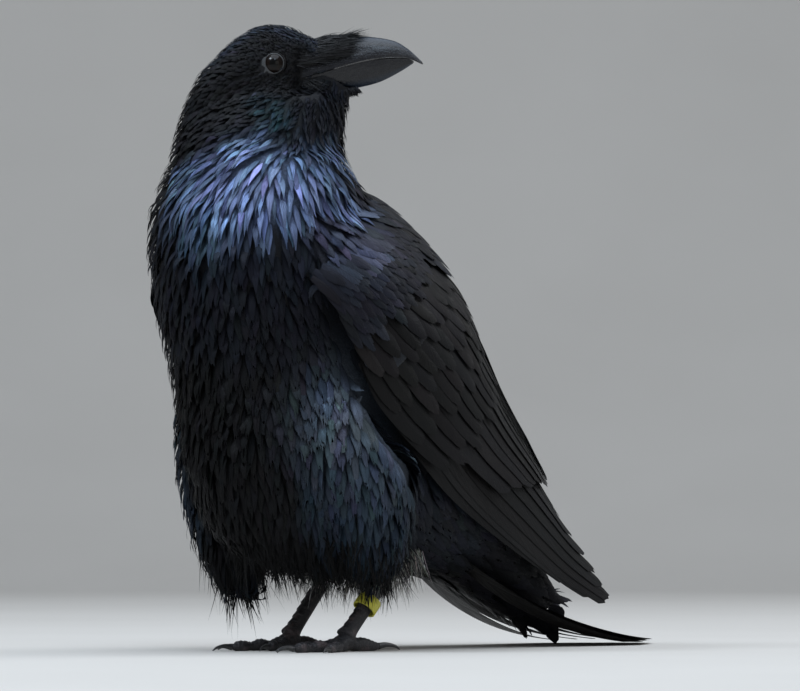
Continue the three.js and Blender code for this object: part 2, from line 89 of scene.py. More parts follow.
HEAD_AT = np.array([0, -50, 350])
HEAD_HEADING = math.radians(40)
EYE = {"ahead": 11.3, "up": 0.8, "out": 15.6, "radius": 8.2, "opening": 5.9}
BILL = {"start": 24, "tip": 98.5, "lower_tip": 93, "half_width": 11}
CULMEN = [(24, 12), (41, 16.6), (50, 17.2), (57, 17.9), (65, 18.2), (81, 15.4), (89, 10.8), (98.5, 2.2)]
BILL_EDGE = [(24, -8), (40, -3.4), (55, 0.9), (67, 3.8), (80, 4.7), (90, 4.4), (98.5, 0.8)]
KEEL = [(24, -16), (42, -15), (56, -13), (72, -9.2), (84.5, -3.1), (93, 2.2)]

WING_LOWER = [
    (62, -88, 232), (80, -68, 212), (82, -46, 176), (77, -16, 140), (70, 28, 108),
    (59, 84, 78), (47, 144, 50), (36, 206, 25), (25, 262, 9),
]
WING_MIDDLE = [
    (71, -70, 254), (80, -30, 244), (76, 14, 221), (69, 52, 192), (59, 82, 160),
    (49, 116, 128), (38, 158, 92), (27, 210, 50), (17, 262, 16),
]
WING_UPPER = [
    (56, -48, 272), (36, 6, 274), (20, 54, 257), (12, 89, 231), (9, 113, 197),
    (8, 138, 156), (8, 168, 112), (8, 210, 64), (9, 262, 21),
]

TAIL = {
    "root": (62, 79), "length": 236, "root_pitch": math.radians(36.6), "end_pitch": math.radians(3.2),
    "root_half_width": 17, "end_half_width": 42, "outer_share": 0.8, "sag": 9, "thickness": 2.4,
}

ANKLE = np.array([27, 38, 56])
FOOT = np.array([25, -4, 8])
SHANK = {"half_width": 4.3, "half_depth": 5.4}
PALM = {"half_sizes": (6.4, 7.4, 5.4), "height": 5.6}
TOES = {
    "hind": {"angle": 178, "length": 27, "radius": 4.5, "pads": 1, "claw": 19},
    "inner": {"angle": -24, "length": 31, "radius": 3.9, "pads": 2, "claw": 14},
    "middle": {"angle": 4, "length": 45, "radius": 4, "pads": 3, "claw": 15},
    "outer": {"angle": 31, "length": 33, "radius": 3.7, "pads": 3, "claw": 12.5},
}
RING = {"inner": 6.2, "outer": 7.4, "height": 8, "share": 0.5}

# ---------------------------------------------------------------- frames, curves and small maths


def unit(vectors):
    return vectors / np.maximum(np.linalg.norm(vectors, axis=-1, keepdims=True), 1e-9)


def lerp(a, b, t):
    return a + (b - a) * t


def smoothstep(x, low, high):
    t = np.clip((x - low) / (high - low), 0, 1)
    return t * t * (3 - 2 * t)


def dot(a, b):
    return (a * b).sum(-1, keepdims=True)


HEAD_AHEAD = np.array([math.cos(HEAD_HEADING), math.sin(HEAD_HEADING), 0])
HEAD_OUT = np.array([-math.sin(HEAD_HEADING), math.cos(HEAD_HEADING), 0])
UP = np.array([0, 0, 1.0])


def on_head(ahead, out, up):
    """Points given in the head's frame: ahead along the bill, out to its left, and up."""
    ahead, out, up = (np.asarray(v, float)[..., None] for v in (ahead, out, up))
    return HEAD_AT + ahead * HEAD_AHEAD + out * HEAD_OUT + up * UP


def head_frame(points):
    """The (ahead, out, up) of points in the bird's frame."""
    local = points - HEAD_AT
    return local @ HEAD_AHEAD, local @ HEAD_OUT, local[..., 2]


def frame_shift():
    """From the bird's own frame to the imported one: both know where the left eye is."""
    low, high = (np.array(corner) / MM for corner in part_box("eye_left"))
    shift = (low + high) / 2 - on_head(EYE["ahead"], EYE["out"], EYE["up"])
    shift[2] = 0
    return shift


SHIFT = frame_shift()


def curve_through(points, samples=400):
    """A centripetal Catmull-Rom curve, read by a share from 0 to 1."""
    p = np.array(points, float)
    p = np.vstack([2 * p[0] - p[1], p, 2 * p[-1] - p[-2]])
    places = np.linspace(0, len(points) - 1, samples + 1)
    first = np.minimum(places.astype(int), len(points) - 2)
    t = (places - first)[:, None]
    a, b, c, d = (p[first + k] for k in range(4))
    gaps = (b - a, c - b, d - c)
    ab, bc, cd = (np.maximum(np.linalg.norm(gap, axis=1, keepdims=True), 1e-6) ** 0.5 for gap in gaps)
    leave = ((b - a) / ab - (c - a) / (ab + bc) + (c - b) / bc) * bc
    arrive = ((c - b) / bc - (d - b) / (bc + cd) + (d - c) / cd) * bc
    table = b + leave * t + (3 * (c - b) - 2 * leave - arrive) * t**2 + (2 * (b - c) + leave + arrive) * t**3
    shares = np.linspace(0, 1, samples + 1)

    def read(share):
        share = np.clip(share, 0, 1)
        return np.stack([np.interp(share, shares, column) for column in table.T], -1)

    return read


def profile_through(points):
    """A smooth profile of (ahead, up) points, read by the distance ahead."""
    table = curve_through(points)(np.linspace(0, 1, 200))
    return lambda ahead: np.interp(ahead, table[:, 0], table[:, 1])


def mix_by_distance(points, places, values, power=4.0, soft=6.0):
    """Values given at some places, blended at each point by its distance from them."""
    result = np.zeros((len(points), values.shape[1]))
    for start in range(0, len(points), 20000):
        part = points[start : start + 20000]
        distance = ((part[:, None] - places[None]) ** 2).sum(-1) + soft**2
        weight = distance ** (-power / 2)
        result[start : start + 20000] = (weight @ values) / weight.sum(1, keepdims=True)
    return result


# ---------------------------------------------------------------- meshes


def only(*objects):
    """Selects these objects alone, the last one active."""
    bpy.ops.object.select_all(action="DESELECT")
    for obj in objects:
        obj.select_set(True)
    bpy.context.view_layer.objects.active = objects[-1]
    return objects[-1]


def points_of(obj):
    """An object's vertices, in the bird's frame."""
    co = np.empty(len(obj.data.vertices) * 3)
    obj.data.vertices.foreach_get("co", co)
    return co.reshape(-1, 3) / MM - SHIFT


def normals_of(obj):
    normals = np.empty(len(obj.data.vertices) * 3)
    obj.data.vertex_normals.foreach_get("vector", normals)
    return normals.reshape(-1, 3)


def on_left(points):
    """Points of the right side mirrored to the left one."""
    return points * np.where(points[:, :1] < 0, MIRROR, 1)


def tree_of(points):
    """A search tree over points."""
    tree = KDTree(len(points))
    for i, p in enumerate(points):
        tree.insert(p, i)
    tree.balance()
    return tree


def set_uv(obj, name, values):
    """Names an object's map and gives it one place for each vertex."""
    corners = np.empty(len(obj.data.loops), int)
    obj.data.loops.foreach_get("vertex_index", corners)
    layer = obj.data.uv_layers.active
    layer.name = name
    layer.uv.foreach_set("vector", values[corners].ravel())


def set_points(obj, points):
    obj.data.vertices.foreach_set("co", ((points + SHIFT) * MM).ravel())
    obj.data.update()


def apply_modifier(obj, kind, **settings):
    only(obj)
    modifier = obj.modifiers.new(kind.title(), kind)
    for key, value in settings.items():
        setattr(modifier, key, value)
    bpy.ops.object.modifier_apply(modifier=modifier.name)


def edit(obj, *steps):
    """Runs edit-mode steps on all of an object's mesh."""
    only(obj)
    bpy.ops.object.mode_set(mode="EDIT")
    bpy.ops.mesh.select_all(action="SELECT")
    for step in steps:
        step()
    bpy.ops.object.mode_set(mode="OBJECT")


def smooth_shading(obj, angle=None):
    only(obj)
    if angle is None:
        bpy.ops.object.shade_smooth()
    else:
        bpy.ops.object.shade_smooth_by_angle(angle=math.radians(angle))


def join(name, objects):
    only(*objects)
    bpy.ops.object.join()
    result = bpy.context.object
    result.name = result.data.name = name
    return result


def copy_of_nodes(*names):
    """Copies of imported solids, their loose triangles merged."""
    bpy.ops.object.select_all(action="DESELECT")
    copies = []
    for name in names:
        copy = frame["nodes"][name].copy()
        copy.data = copy.data.copy()
        copy.parent = None
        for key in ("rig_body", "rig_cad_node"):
            del copy[key]
        bpy.context.scene.collection.objects.link(copy)
        edit(copy, lambda: bpy.ops.mesh.remove_doubles(threshold=1e-6))
        copies.append(copy)
    return copies


def swept(name, around, along, place):
    """A closed tube made from a sphere: place(share, angle, r) puts each vertex; r is zero at both ends."""
    bpy.ops.object.select_all(action="DESELECT")
    bpy.ops.mesh.primitive_uv_sphere_add(segments=around, ring_count=along, radius=1)
    obj = bpy.context.object
    obj.name = obj.data.name = name
    ball = np.empty(len(obj.data.vertices) * 3)
    obj.data.vertices.foreach_get("co", ball)
    ball = ball.reshape(-1, 3)
    share = np.arccos(np.clip(ball[:, 2], -1, 1)) / math.pi
    r = (np.hypot(ball[:, 0], ball[:, 1]) > 1e-4).astype(float)
    set_points(obj, place(share, np.arctan2(ball[:, 1], ball[:, 0]), r))
    edit(obj, lambda: bpy.ops.mesh.normals_make_consistent(inside=False))
    smooth_shading(obj)
    return obj


def tube_about(curve, radii, up):
    """For swept(): a tube along a curve, its half-height leaning to "up"."""
    step = 0.01

    def place(share, angle, r):
        ahead = unit(curve(share + step) - curve(share - step))
        across = unit(np.cross(ahead, up))
        normal = np.cross(across, ahead)
        half_width, half_height = radii(share, angle)
        return (
            curve(share)
            + across * (r * half_width * np.cos(angle))[:, None]
            + normal * (r * half_height * np.sin(angle))[:, None]
        )

    return place


class Surface:
    """Finds the places on a mesh that are nearest to points, with smooth normals and the mesh's UVs."""

    def __init__(self, obj):
        mesh = obj.data
        mesh.calc_loop_triangles()
        self.points = points_of(obj)
        count = len(mesh.loop_triangles)
        self.corners = np.empty(count * 3, int)
        mesh.loop_triangles.foreach_get("vertices", self.corners)
        self.corners = self.corners.reshape(-1, 3)
        self.normals = normals_of(obj)
        self.uv = None
        if mesh.uv_layers:
            loops = np.empty(count * 3, int)
            mesh.loop_triangles.foreach_get("loops", loops)
            uv = np.empty(len(mesh.loops) * 2)
            mesh.uv_layers.active.uv.foreach_get("vector", uv)
            self.uv = uv.reshape(-1, 2)[loops].reshape(-1, 3, 2)
        self.tree = BVHTree.FromPolygons(self.points.tolist(), self.corners.tolist())

    def nearest(self, points):
        """(places, normals, triangles, weights of each triangle's corners)."""
        found = [self.tree.find_nearest(Vector(p)) for p in points]
        places = np.array([f[0] for f in found])
        triangles = np.array([f[2] for f in found])
        weights = self.weights(places, triangles)
        normals = unit((self.normals[self.corners[triangles]] * weights[..., None]).sum(1))
        return places, normals, triangles, weights

    def weights(self, places, triangles):
        a, b, c = (self.points[self.corners[triangles, k]] for k in range(3))
        n = np.cross(b - a, c - a)
        area = np.maximum((n * n).sum(-1), 1e-12)
        wb = (np.cross(places - a, c - a) * n).sum(-1) / area
        wc = (np.cross(b - a, places - a) * n).sum(-1) / area
        return np.clip(np.stack([1 - wb - wc, wb, wc], -1), 0, 1)

    def uv_at(self, points):
        _, _, triangles, weights = self.nearest(points)
        return (self.uv[triangles] * weights[..., None]).sum(1)

    def scatter(self, count, rng):
        """Random (places, normals), evenly spread over the mesh."""
        a, b, c = (self.points[self.corners[:, k]] for k in range(3))
        area = np.linalg.norm(np.cross(b - a, c - a), axis=1)
        triangles = rng.choice(len(area), count, p=area / area.sum())
        s, t = rng.random((2, count))
        flip = s + t > 1
        s, t = np.where(flip, 1 - s, s), np.where(flip, 1 - t, t)
        weights = np.stack([1 - s - t, s, t], -1)[..., None]
        corners = self.corners[triangles]
        return (self.points[corners] * weights).sum(1), unit((self.normals[corners] * weights).sum(1))


# ---------------------------------------------------------------- materials


class Finish:
    """A procedural material in the making."""

    def __init__(self, name, **sockets):
        self.material = bpy.data.materials.new(name)
        self.material.use_nodes = True
        self.tree = self.material.node_tree
        self.shader = self.tree.nodes["Principled BSDF"]
        for socket, value in sockets.items():
            self.put(value, self.shader.inputs[socket.replace("_", " ")])

    def put(self, value, socket):
        if isinstance(value, bpy.types.NodeSocket):
            self.tree.links.new(value, socket)
        else:
            socket.default_value = value

    def add(self, kind, inputs=(), **settings):
        node = self.tree.nodes.new(kind)
        for key, value in settings.items():
            setattr(node, key, value)
        for key, value in dict(inputs).items():
            self.put(value, node.inputs[key])
        return node

    def maths(self, operation, a, b=0.0, clamp=False):
        node = self.add("ShaderNodeMath", {0: a, 1: b}, operation=operation, use_clamp=clamp)
        return node.outputs[0]

    def attribute(self, name):
        return self.add("ShaderNodeAttribute", attribute_name=name)

    def times(self, a, b):
        return self.maths("MULTIPLY", a, b)

    def uv(self, name):
        """The two coordinates of one of the piece's own maps."""
        vector = self.add("ShaderNodeUVMap", uv_map=name).outputs["UV"]
        parts = self.add("ShaderNodeSeparateXYZ", {"Vector": vector}).outputs
        return parts["X"], parts["Y"]

    def noise(self, vector, scale, detail=3.0, roughness=0.55):
        sizes = {"Vector": vector, "Scale": scale, "Detail": detail, "Roughness": roughness}
        return self.add("ShaderNodeTexNoise", sizes).outputs["Fac"]

    def between(self, value, low, high, to_low=0.0, to_high=1.0):
        ends = {"Value": value, "From Min": low, "From Max": high, "To Min": to_low, "To Max": to_high}
        return self.add("ShaderNodeMapRange", ends, interpolation_type="SMOOTHSTEP").outputs["Result"]

    def mix(self, factor, a, b, blend="MIX"):
        node = self.add("ShaderNodeMix", data_type="RGBA", blend_type=blend, clamp_factor=True)
        self.put(factor, node.inputs["Factor"])
        for socket, value in (("A", a), ("B", b)):
            value = (*value, 1) if isinstance(value, tuple) and len(value) == 3 else value
            self.put(value, [s for s in node.inputs if s.name == socket and s.type == "RGBA"][0])
        return [s for s in node.outputs if s.type == "RGBA"][0]

    def bump(self, height, distance, normal=None):
        """distance is in millimetres."""
        inputs = {"Height": height, "Distance": distance * MM, "Strength": 1.0}
        if normal is not None:
            inputs["Normal"] = normal
        return self.add("ShaderNodeBump", inputs).outputs["Normal"]

    def combine(self, x, y, z):
        return self.add("ShaderNodeCombineXYZ", {"X": x, "Y": y, "Z": z}).outputs["Vector"]

    def set(self, **sockets):
        for socket, value in sockets.items():
            self.put(value, self.shader.inputs[socket.replace("_", " ")])
        return self.material


def per_mm(count):
    """A texture's scale that gives this many features to the millimetre."""
    return count / MM


def vane_finish(name, barbs, slant, streak, roughness, shaft, fringe, specular=0.2, rim=0.6):
    """Feathers: barbs slant off a shaft, in the colour and metal share that each vane's tint holds, with
    painted shade towards each vane's edges.
    """
    finish = Finish(name, IOR=1.5, Specular_IOR_Level=specular)
    tint = finish.attribute("tint")
    lot = finish.attribute("lot").outputs["Fac"]
    across, along = finish.uv("vane")
    side = finish.maths("ABSOLUTE", finish.maths("SUBTRACT", across, shaft))
    barb = finish.maths("SUBTRACT", along, finish.times(side, slant))
    own = finish.times(lot, 40.0)
    along_barbs = finish.combine(finish.times(barb, barbs), side, own)
    fine = finish.noise(along_barbs, 1.0, 4.0, 0.65)
    clumps = finish.noise(finish.combine(finish.times(barb, barbs * 0.16), side, own), 1.0, 2.0)
    depth = finish.times(finish.between(fine, 0.3, 0.7), finish.between(clumps, 0.3, 0.65, 0.45, 1.0))
    shade = finish.maths("ADD", finish.times(depth, streak), 1 - streak * 0.55)
    # Painted shade: each vane darkens from "fringe" out to its edges, down to "rim" of its colour, for the
    # shadowed gaps between overlapping feathers.
    edge = finish.between(side, fringe, 0.5, 1.0, rim)
    shade = finish.times(shade, edge)
    rachis = finish.between(side, 0.0, 0.035, 0.55, 1.0)
    shade = finish.times(shade, rachis)
    colour = finish.mix(1.0, tint.outputs["Color"], finish.combine(shade, shade, shade), "MULTIPLY")
    metal = finish.times(tint.outputs["Alpha"], finish.between(depth, 0.1, 0.6, 0.55, 1.0))
    rough = finish.between(depth, 0.0, 1.0, roughness + 0.16, roughness - 0.06)
    return finish.set(Base_Color=colour, Metallic=metal, Roughness=rough, Normal=finish.bump(fine, 0.22))


def object_place(finish):
    return finish.add("ShaderNodeTexCoord").outputs["Object"]


def skin_finish():
    """Bare skin under the plumage: near black, finely wrinkled, with the plumage's tints, their painted
    highlights included.
    """
    finish = Finish("raven skin", Roughness=0.6, Specular_IOR_Level=0.2)
    place = object_place(finish)
    wrinkles = finish.noise(place, per_mm(0.8), 4.0, 0.6)
    tint = finish.attribute("tint").outputs["Color"]
    shade = finish.between(wrinkles, 0.3, 0.7, 0.35, 0.75)
    colour = finish.mix(1.0, tint, finish.combine(shade, shade, shade), "MULTIPLY")
    return finish.set(Base_Color=colour, Normal=finish.bump(wrinkles, 0.25))


def leg_finish(settings):
    """Scaly black skin, dusty in its creases and rubbed to a warm grey on its bumps."""
    pebbles, scuffs = 1.4, 0.5
    finish = Finish("leg skin")
    place = object_place(finish)
    cells = finish.add("ShaderNodeTexVoronoi", {"Vector": place, "Scale": per_mm(pebbles)}, feature="F1")
    bumps = finish.between(cells.outputs["Distance"], 0.0, 0.7, 1.0, 0.0)
    wear = finish.noise(place, per_mm(0.12), 3.0, 0.6)
    dust = finish.noise(place, per_mm(1.1), 4.0, 0.7)
    colour = finish.mix(finish.between(dust, 0.42, 0.72), (*settings.leg_colour,), (0.030, 0.028, 0.031))
    rubbed = finish.times(finish.between(wear, 0.5, 0.68), scuffs)
    colour = finish.mix(rubbed, colour, (0.12, 0.088, 0.088))
    rough = finish.between(dust, 0.3, 0.7, 0.36, 0.6)
    relief = finish.bump(dust, 0.3, finish.bump(bumps, 0.25))
    return finish.set(Base_Color=colour, Roughness=rough, Normal=relief)


def bill_finish(settings):
    """Slate black horn, streaked lengthwise, with a painted bluish highlight along the culmen and paler broken
    patches along the front of the cutting edges.
    """
    finish = Finish("bill horn", Specular_IOR_Level=0.34, Coat_Weight=0.08, Coat_Roughness=0.15)
    along, height = finish.uv("horn")
    streaks = finish.combine(finish.times(along, 6.0), finish.times(height, 60.0), 0.0)
    grain = finish.noise(streaks, 1.0, 4.0, 0.6)
    bands = finish.combine(finish.times(along, 22.0), finish.times(height, 7.0), 3.0)
    layers = finish.noise(bands, 1.0, 3.0)
    scratches = finish.noise(object_place(finish), per_mm(1.6), 4.0, 0.7)
    colour = finish.mix(finish.between(layers, 0.35, 0.7), (*settings.bill_colour,), (0.012, 0.012, 0.014))
    colour = finish.mix(finish.between(grain, 0.60, 0.8, 0.0, 0.4), colour, (0.040, 0.034, 0.031))
    # Paler in broken patches along the cutting edges, over the front third of the bill.
    edge = finish.times(finish.between(height, 0.0, 0.09, 1.0, 0.0), finish.between(scratches, 0.3, 0.6))
    edge = finish.times(edge, finish.between(along, 0.62, 0.74))
    colour = finish.mix(finish.times(edge, 0.8), colour, (0.24, 0.24, 0.23))
    # Painted highlight: a bluish band along the culmen stands for the sky's reflection; the lower half takes it
    # along its keel.
    colour = finish.mix(finish.between(height, 0.62, 0.96, 0.0, 0.7), colour, (0.016, 0.025, 0.040))
    rough = finish.between(scratches, 0.3, 0.75, 0.20, 0.34)
    relief = finish.bump(grain, 0.10, finish.bump(layers, 0.25))
    return finish.set(Base_Color=colour, Roughness=rough, Normal=relief)


def claw_finish(settings):
    """Black horn claws, ribbed lengthwise and worn grey towards the tip."""
    finish = Finish("claw horn", Coat_Weight=0.1, Coat_Roughness=0.3)
    place = object_place(finish)
    grain = finish.noise(place, per_mm(0.9), 4.0, 0.6)
    colour = finish.mix(finish.between(grain, 0.45, 0.75), (*settings.claw_colour,), (0.075, 0.073, 0.07))
    rough = finish.between(grain, 0.3, 0.7, 0.3, 0.5)
    return finish.set(Base_Color=colour, Roughness=rough, Normal=finish.bump(grain, 0.15))


def eye_finish(settings, side):
    """A wet, very dark brown iris round a black pupil."""
    wetness = {"Coat_Weight": 0.6, "Coat_Roughness": 0.01, "Coat_IOR": 1.32}
    finish = Finish(f"eye {side}", Roughness=0.3, Specular_IOR_Level=0.05, **wetness)
    radius, turn = finish.uv("eye")
    spokes = finish.combine(finish.times(radius, 3.0), finish.times(turn, 70.0), 0.0)
    rays = finish.noise(spokes, 1.0, 4.0, 0.6)
    iris = finish.mix(finish.between(rays, 0.35, 0.7), (*settings.eye_colour,), (0.009, 0.004, 0.002))
    rim = finish.between(radius, 0.60, 0.72)
    colour = finish.mix(finish.between(radius, 0.30, 0.34), (0.0015, 0.0013, 0.0012), iris)
    colour = finish.mix(rim, colour, (0.004, 0.003, 0.003))
    return finish.set(Base_Color=colour)


def lid_finish():
    """The bare rim of the eyelids, a little paler than the feathers."""
    finish = Finish("eyelid rim", Roughness=0.42)
    place = object_place(finish)
    grain = finish.noise(place, per_mm(2.5), 4.0, 0.6)
    colour = finish.mix(finish.between(grain, 0.35, 0.65), (0.018, 0.019, 0.021), (0.046, 0.047, 0.048))
    return finish.set(Base_Color=colour, Normal=finish.bump(grain, 0.12))


def ring_finish(settings):
    """Yellow plastic, a little soiled and scratched."""
    finish = Finish("ring plastic", Coat_Weight=0.2, Coat_Roughness=0.2)
    place = object_place(finish)
    soil = finish.noise(place, per_mm(0.35), 4.0, 0.65)
    scratches = finish.noise(place, per_mm(2.2), 4.0, 0.7)
    soiled = finish.between(soil, 0.45, 0.8, 0.0, 0.5)
    colour = finish.mix(soiled, (*settings.ring_colour,), (0.22, 0.17, 0.06))
    rough = finish.between(scratches, 0.3, 0.7, 0.28, 0.5)
    return finish.set(Base_Color=colour, Roughness=rough, Normal=finish.bump(scratches, 0.03))


# ---------------------------------------------------------------- plumage: what grows where

# Each mark: its tract, place and the way its feathers lie; then the feathers' length, width and spacing, the
# coat's depth, and how pointed and how frayed the tips are. Marks with a place off the middle line stand for
# both sides. What lies between marks is blended from them.
BODY_MARKS = [
    ("breast", (0, -113, 262), (0, -0.1, -1), 18, 4.4, 3.3, 5, 0.8, 0.6),
    ("breast", (40, -104, 246), (0.05, -0.05, -1), 18, 4.4, 3.3, 5, 0.8, 0.6),
    ("breast", (0, -113, 215), (0, 0.02, -1), 21, 5.5, 3.6, 6, 0.5, 0.9),
    ("breast", (45, -97, 210), (0.05, 0.1, -1), 21, 5.5, 3.6, 6, 0.5, 0.9),
    ("breast", (66, -66, 205), (0.1, 0.3, -1), 21, 5.5, 3.6, 5, 0.5, 0.9),
    ("belly", (0, -103, 160), (0, 0.05, -1), 24, 5.6, 3.6, 7, 0.5, 1.0),
    ("belly", (45, -84, 155), (0, 0.1, -1), 24, 5.6, 3.6, 7, 0.5, 1.0),
    ("belly", (0, -92, 110), (0, 0.1, -1), 26, 5.2, 3.5, 7, 0.6, 1.0),
    ("belly", (35, -76, 105), (0, 0.12, -1), 26, 5.2, 3.5, 7, 0.6, 1.0),
    ("belly", (0, -72, 68), (0, 0.2, -1), 28, 3.5, 3, 7, 0.9, 1.0),
    ("belly", (30, -55, 60), (0, 0.2, -1), 26, 3.5, 3, 7, 0.9, 1.0),
    ("belly", (0, -25, 48), (0, 0.5, -0.9), 24, 3.5, 3.1, 6, 0.9, 1.0),
    ("belly", (0, 20, 46), (0, 1, -0.35), 28, 4.9, 3.8, 6, 0.7, 1.0),
    ("flanks", (60, -10, 165), (0, 0.15, -1), 25, 7.5, 4.5, 6, 0.25, 0.7),
    ("flanks", (62, 30, 110), (0, 0.5, -0.9), 27, 7.5, 4.7, 5, 0.3, 0.8),
    ("flanks", (45, 60, 70), (0, 0.8, -0.6), 28, 7.5, 4.8, 5, 0.4, 0.8),
    ("vent", (0, 70, 44), (0, 1, -0.3), 34, 10, 6.6, 5, 0.4, 0.9),
    ("vent", (25, 95, 50), (0, 1, -0.4), 36, 11, 7.0, 5, 0.3, 0.7),
    ("vent", (0, 110, 34), (0, 1, -0.35), 42, 13, 8.0, 5, 0.25, 0.5),
    ("vent", (28, 140, 45), (0, 1, -0.3), 34, 10, 6.4, 6, 0.2, 0.4),
    ("vent", (0, 150, 20), (0, 1, -0.22), 32, 10, 6.4, 6, 0.1, 0.3),
    ("vent", (24, 185, 28), (0, 1, -0.12), 22, 8, 5.4, 7, 0.05, 0.3),
    ("back", (0, 5, 290), (0, 0.6, -0.6), 17, 7, 4.4, 5, 0.4, 0.3),
    ("back", (30, 0, 283), (0.2, 0.7, -0.5), 19, 8.5, 5.2, 5, 0.25, 0.3),
    ("back", (0, 40, 264), (0, 0.6, -0.8), 22, 10, 6.0, 5, 0.15, 0.3),
    ("back", (0, 80, 224), (0, 0.5, -0.9), 25, 12, 7.0, 5, 0.1, 0.3),
    ("back", (0, 113, 166), (0, 0.35, -1), 28, 12, 7.2, 5, 0.1, 0.4),
    ("back", (0, 135, 118), (0, 0.45, -0.9), 30, 12, 7.4, 5, 0.15, 0.4),
    ("back", (0, 170, 66), (0, 0.75, -0.7), 30, 10, 6.0, 5, 0.1, 0.3),
    ("back", (0, 195, 35), (0, 0.9, -0.45), 24, 9, 5.6, 7, 0.05, 0.3),
    ("shoulders", (50, -35, 280), (0.35, 0.5, -0.6), 17, 6.5, 4.4, 4, 0.35, 0.4),
    ("shoulders", (72, -60, 258), (0.15, 0.35, -0.9), 15, 6.0, 4.0, 4, 0.3, 0.5),
    ("shoulders", (74, -62, 238), (0.1, 0.45, -0.9), 16, 6.5, 4.3, 4, 0.3, 0.5),
    ("shoulders", (80, -30, 240), (0, 0.6, -0.75), 16, 7.0, 4.6, 3.6, 0.2, 0.4),
    ("shoulders", (62, -6, 258), (0.1, 0.75, -0.6), 18, 8.0, 5.0, 3.6, 0.15, 0.4),
    ("shoulders", (76, 14, 221), (-0.1, 0.75, -0.7), 18, 8.5, 5.2, 3.2, 0.12, 0.3),
    ("shoulders", (81, -50, 200), (0, 0.5, -0.85), 17, 7.5, 4.8, 3.4, 0.2, 0.4),
    ("shoulders", (78, -25, 155), (-0.05, 0.6, -0.8), 20, 8.0, 5.2, 2.6, 0.2, 0.4),
    ("thighs", (55, -45, 150), (0, 0.1, -1), 23, 5.9, 3.7, 7, 0.3, 0.8),
    ("thighs", (74, -15, 130), (0, 0.15, -1), 23, 6.3, 3.8, 7, 0.25, 0.7),
    ("thighs", (60, -45, 105), (-0.05, 0.1, -1), 24, 5.6, 3.7, 7, 0.4, 0.9),
    ("thighs", (72, 0, 90), (-0.1, 0.2, -1), 24, 5.6, 3.8, 7, 0.35, 0.9),
    ("thighs", (50, -25, 62), (-0.15, 0.12, -1), 26, 3.6, 3, 5, 0.9, 1.0),
    ("thighs", (42, 0, 48), (-0.2, 0.1, -1), 20, 2.4, 2.2, 3, 1.0, 1.0),
]
# The neck is twisted, so its two sides differ and its marks stand for themselves alone.
NECK_MARKS = [
    ("throat", (52, -30, 322), (-0.1, -0.1, -1), 10, 2.0, 2.0, 2.2, 1.0, 0.6),
    ("throat", (47, -44, 313), (-0.1, -0.25, -1), 13, 2.6, 2.4, 3, 1.0, 0.5),
    ("throat", (40, -18, 312), (0.1, 0.05, -1), 13, 3.0, 2.5, 3, 1.0, 0.5),
    ("hackles", (46, -38, 299), (0.05, -0.15, -1), 20, 3.4, 3.0, 4, 1.0, 0.3),
    ("throat", (38, -64, 317), (-0.15, -0.5, -0.9), 11, 2.8, 2.4, 3, 0.9, 0.4),
    ("hackles", (31, -80, 305), (-0.5, -0.5, -0.8), 20, 3.4, 3.0, 4, 1.0, 0.3),
    ("hackles", (-3, -104, 286), (-0.6, -0.2, -0.8), 23, 3.8, 3.3, 5, 1.0, 0.3),
    ("hackles", (12, -107, 272), (-0.42, -0.1, -0.9), 26, 4.3, 3.6, 6, 1.0, 0.3),
    ("hackles", (37, -98, 279), (-0.2, -0.1, -1), 27, 4.4, 3.7, 6, 1.0, 0.3),
    ("hackles", (61, -73, 279), (0.05, -0.05, -1), 27, 4.2, 3.6, 6, 1.0, 0.3),
    ("hackles", (66, -44, 276), (0.12, 0.05, -1), 24, 4.0, 3.5, 5, 1.0, 0.3),
    ("hackles", (1, -114, 266), (-0.15, 0, -1), 25, 4.4, 3.7, 6, 1.0, 0.4),
    ("hackles", (30, -109, 262), (0, 0, -1), 25, 4.4, 3.7, 6, 1.0, 0.4),
    ("hackles", (57, -86, 262), (0.1, 0, -1), 24, 4.2, 3.6, 5, 1.0, 0.4),
    ("breast", (-10, -115, 247), (-0.05, 0, -1), 22, 5.6, 4.2, 6, 0.8, 0.6),
    ("breast", (14, -113, 246), (0, 0, -1), 22, 5.6, 4.2, 6, 0.8, 0.6),
    ("breast", (36, -106, 245), (0.03, 0, -1), 22, 5.6, 4.2, 6, 0.8, 0.6),
    ("breast", (60, -82, 246), (0.1, 0.1, -1), 21, 5.6, 4.2, 5, 0.7, 0.6),
    ("neck", (33, -2, 308), (0.05, 0.15, -1), 16, 4.2, 3.2, 4, 0.9, 0.4),
    ("neck", (48, -10, 285), (0.2, 0.3, -0.9), 18, 5.4, 4.0, 5, 0.6, 0.4),
    ("neck", (10, 5, 305), (0, 0.5, -1), 14, 5.0, 3.5, 4, 0.5, 0.3),
    ("neck", (-25, -10, 300), (-0.15, 0.4, -1), 15, 5.2, 3.7, 4, 0.45, 0.3),
    ("neck", (-36, -40, 312), (-0.2, 0.2, -1), 12, 4.2, 3.0, 3.4, 0.5, 0.4),
    ("neck", (-42, -70, 300), (-0.2, 0.05, -1), 13, 4.4, 3.2, 4, 0.5, 0.4),
    ("neck", (-30, -92, 303), (-0.25, -0.1, -1), 13, 4.0, 3.0, 4, 0.5, 0.4),
    ("neck", (-12, -97, 307), (-0.4, -0.3, -0.9), 13, 3.8, 2.9, 4, 0.5, 0.4),
    ("neck", (8, -90, 315), (-0.6, -0.4, -0.6), 12, 3.4, 2.6, 3, 0.5, 0.4),
    ("neck", (24, -79, 318), (-0.6, -0.4, -0.6), 11, 3.0, 2.4, 2.8, 0.5, 0.4),
    ("neck", (-28, -102, 280), (-0.3, -0.1, -1), 17, 5.4, 4.0, 5, 0.6, 0.5),
    ("neck", (-58, -50, 285), (-0.3, 0.1, -1), 17, 6.0, 4.2, 5, 0.5, 0.4),
    ("neck", (-50, -90, 262), (-0.15, 0, -1), 19, 6.0, 4.3, 5, 0.6, 0.5),
]
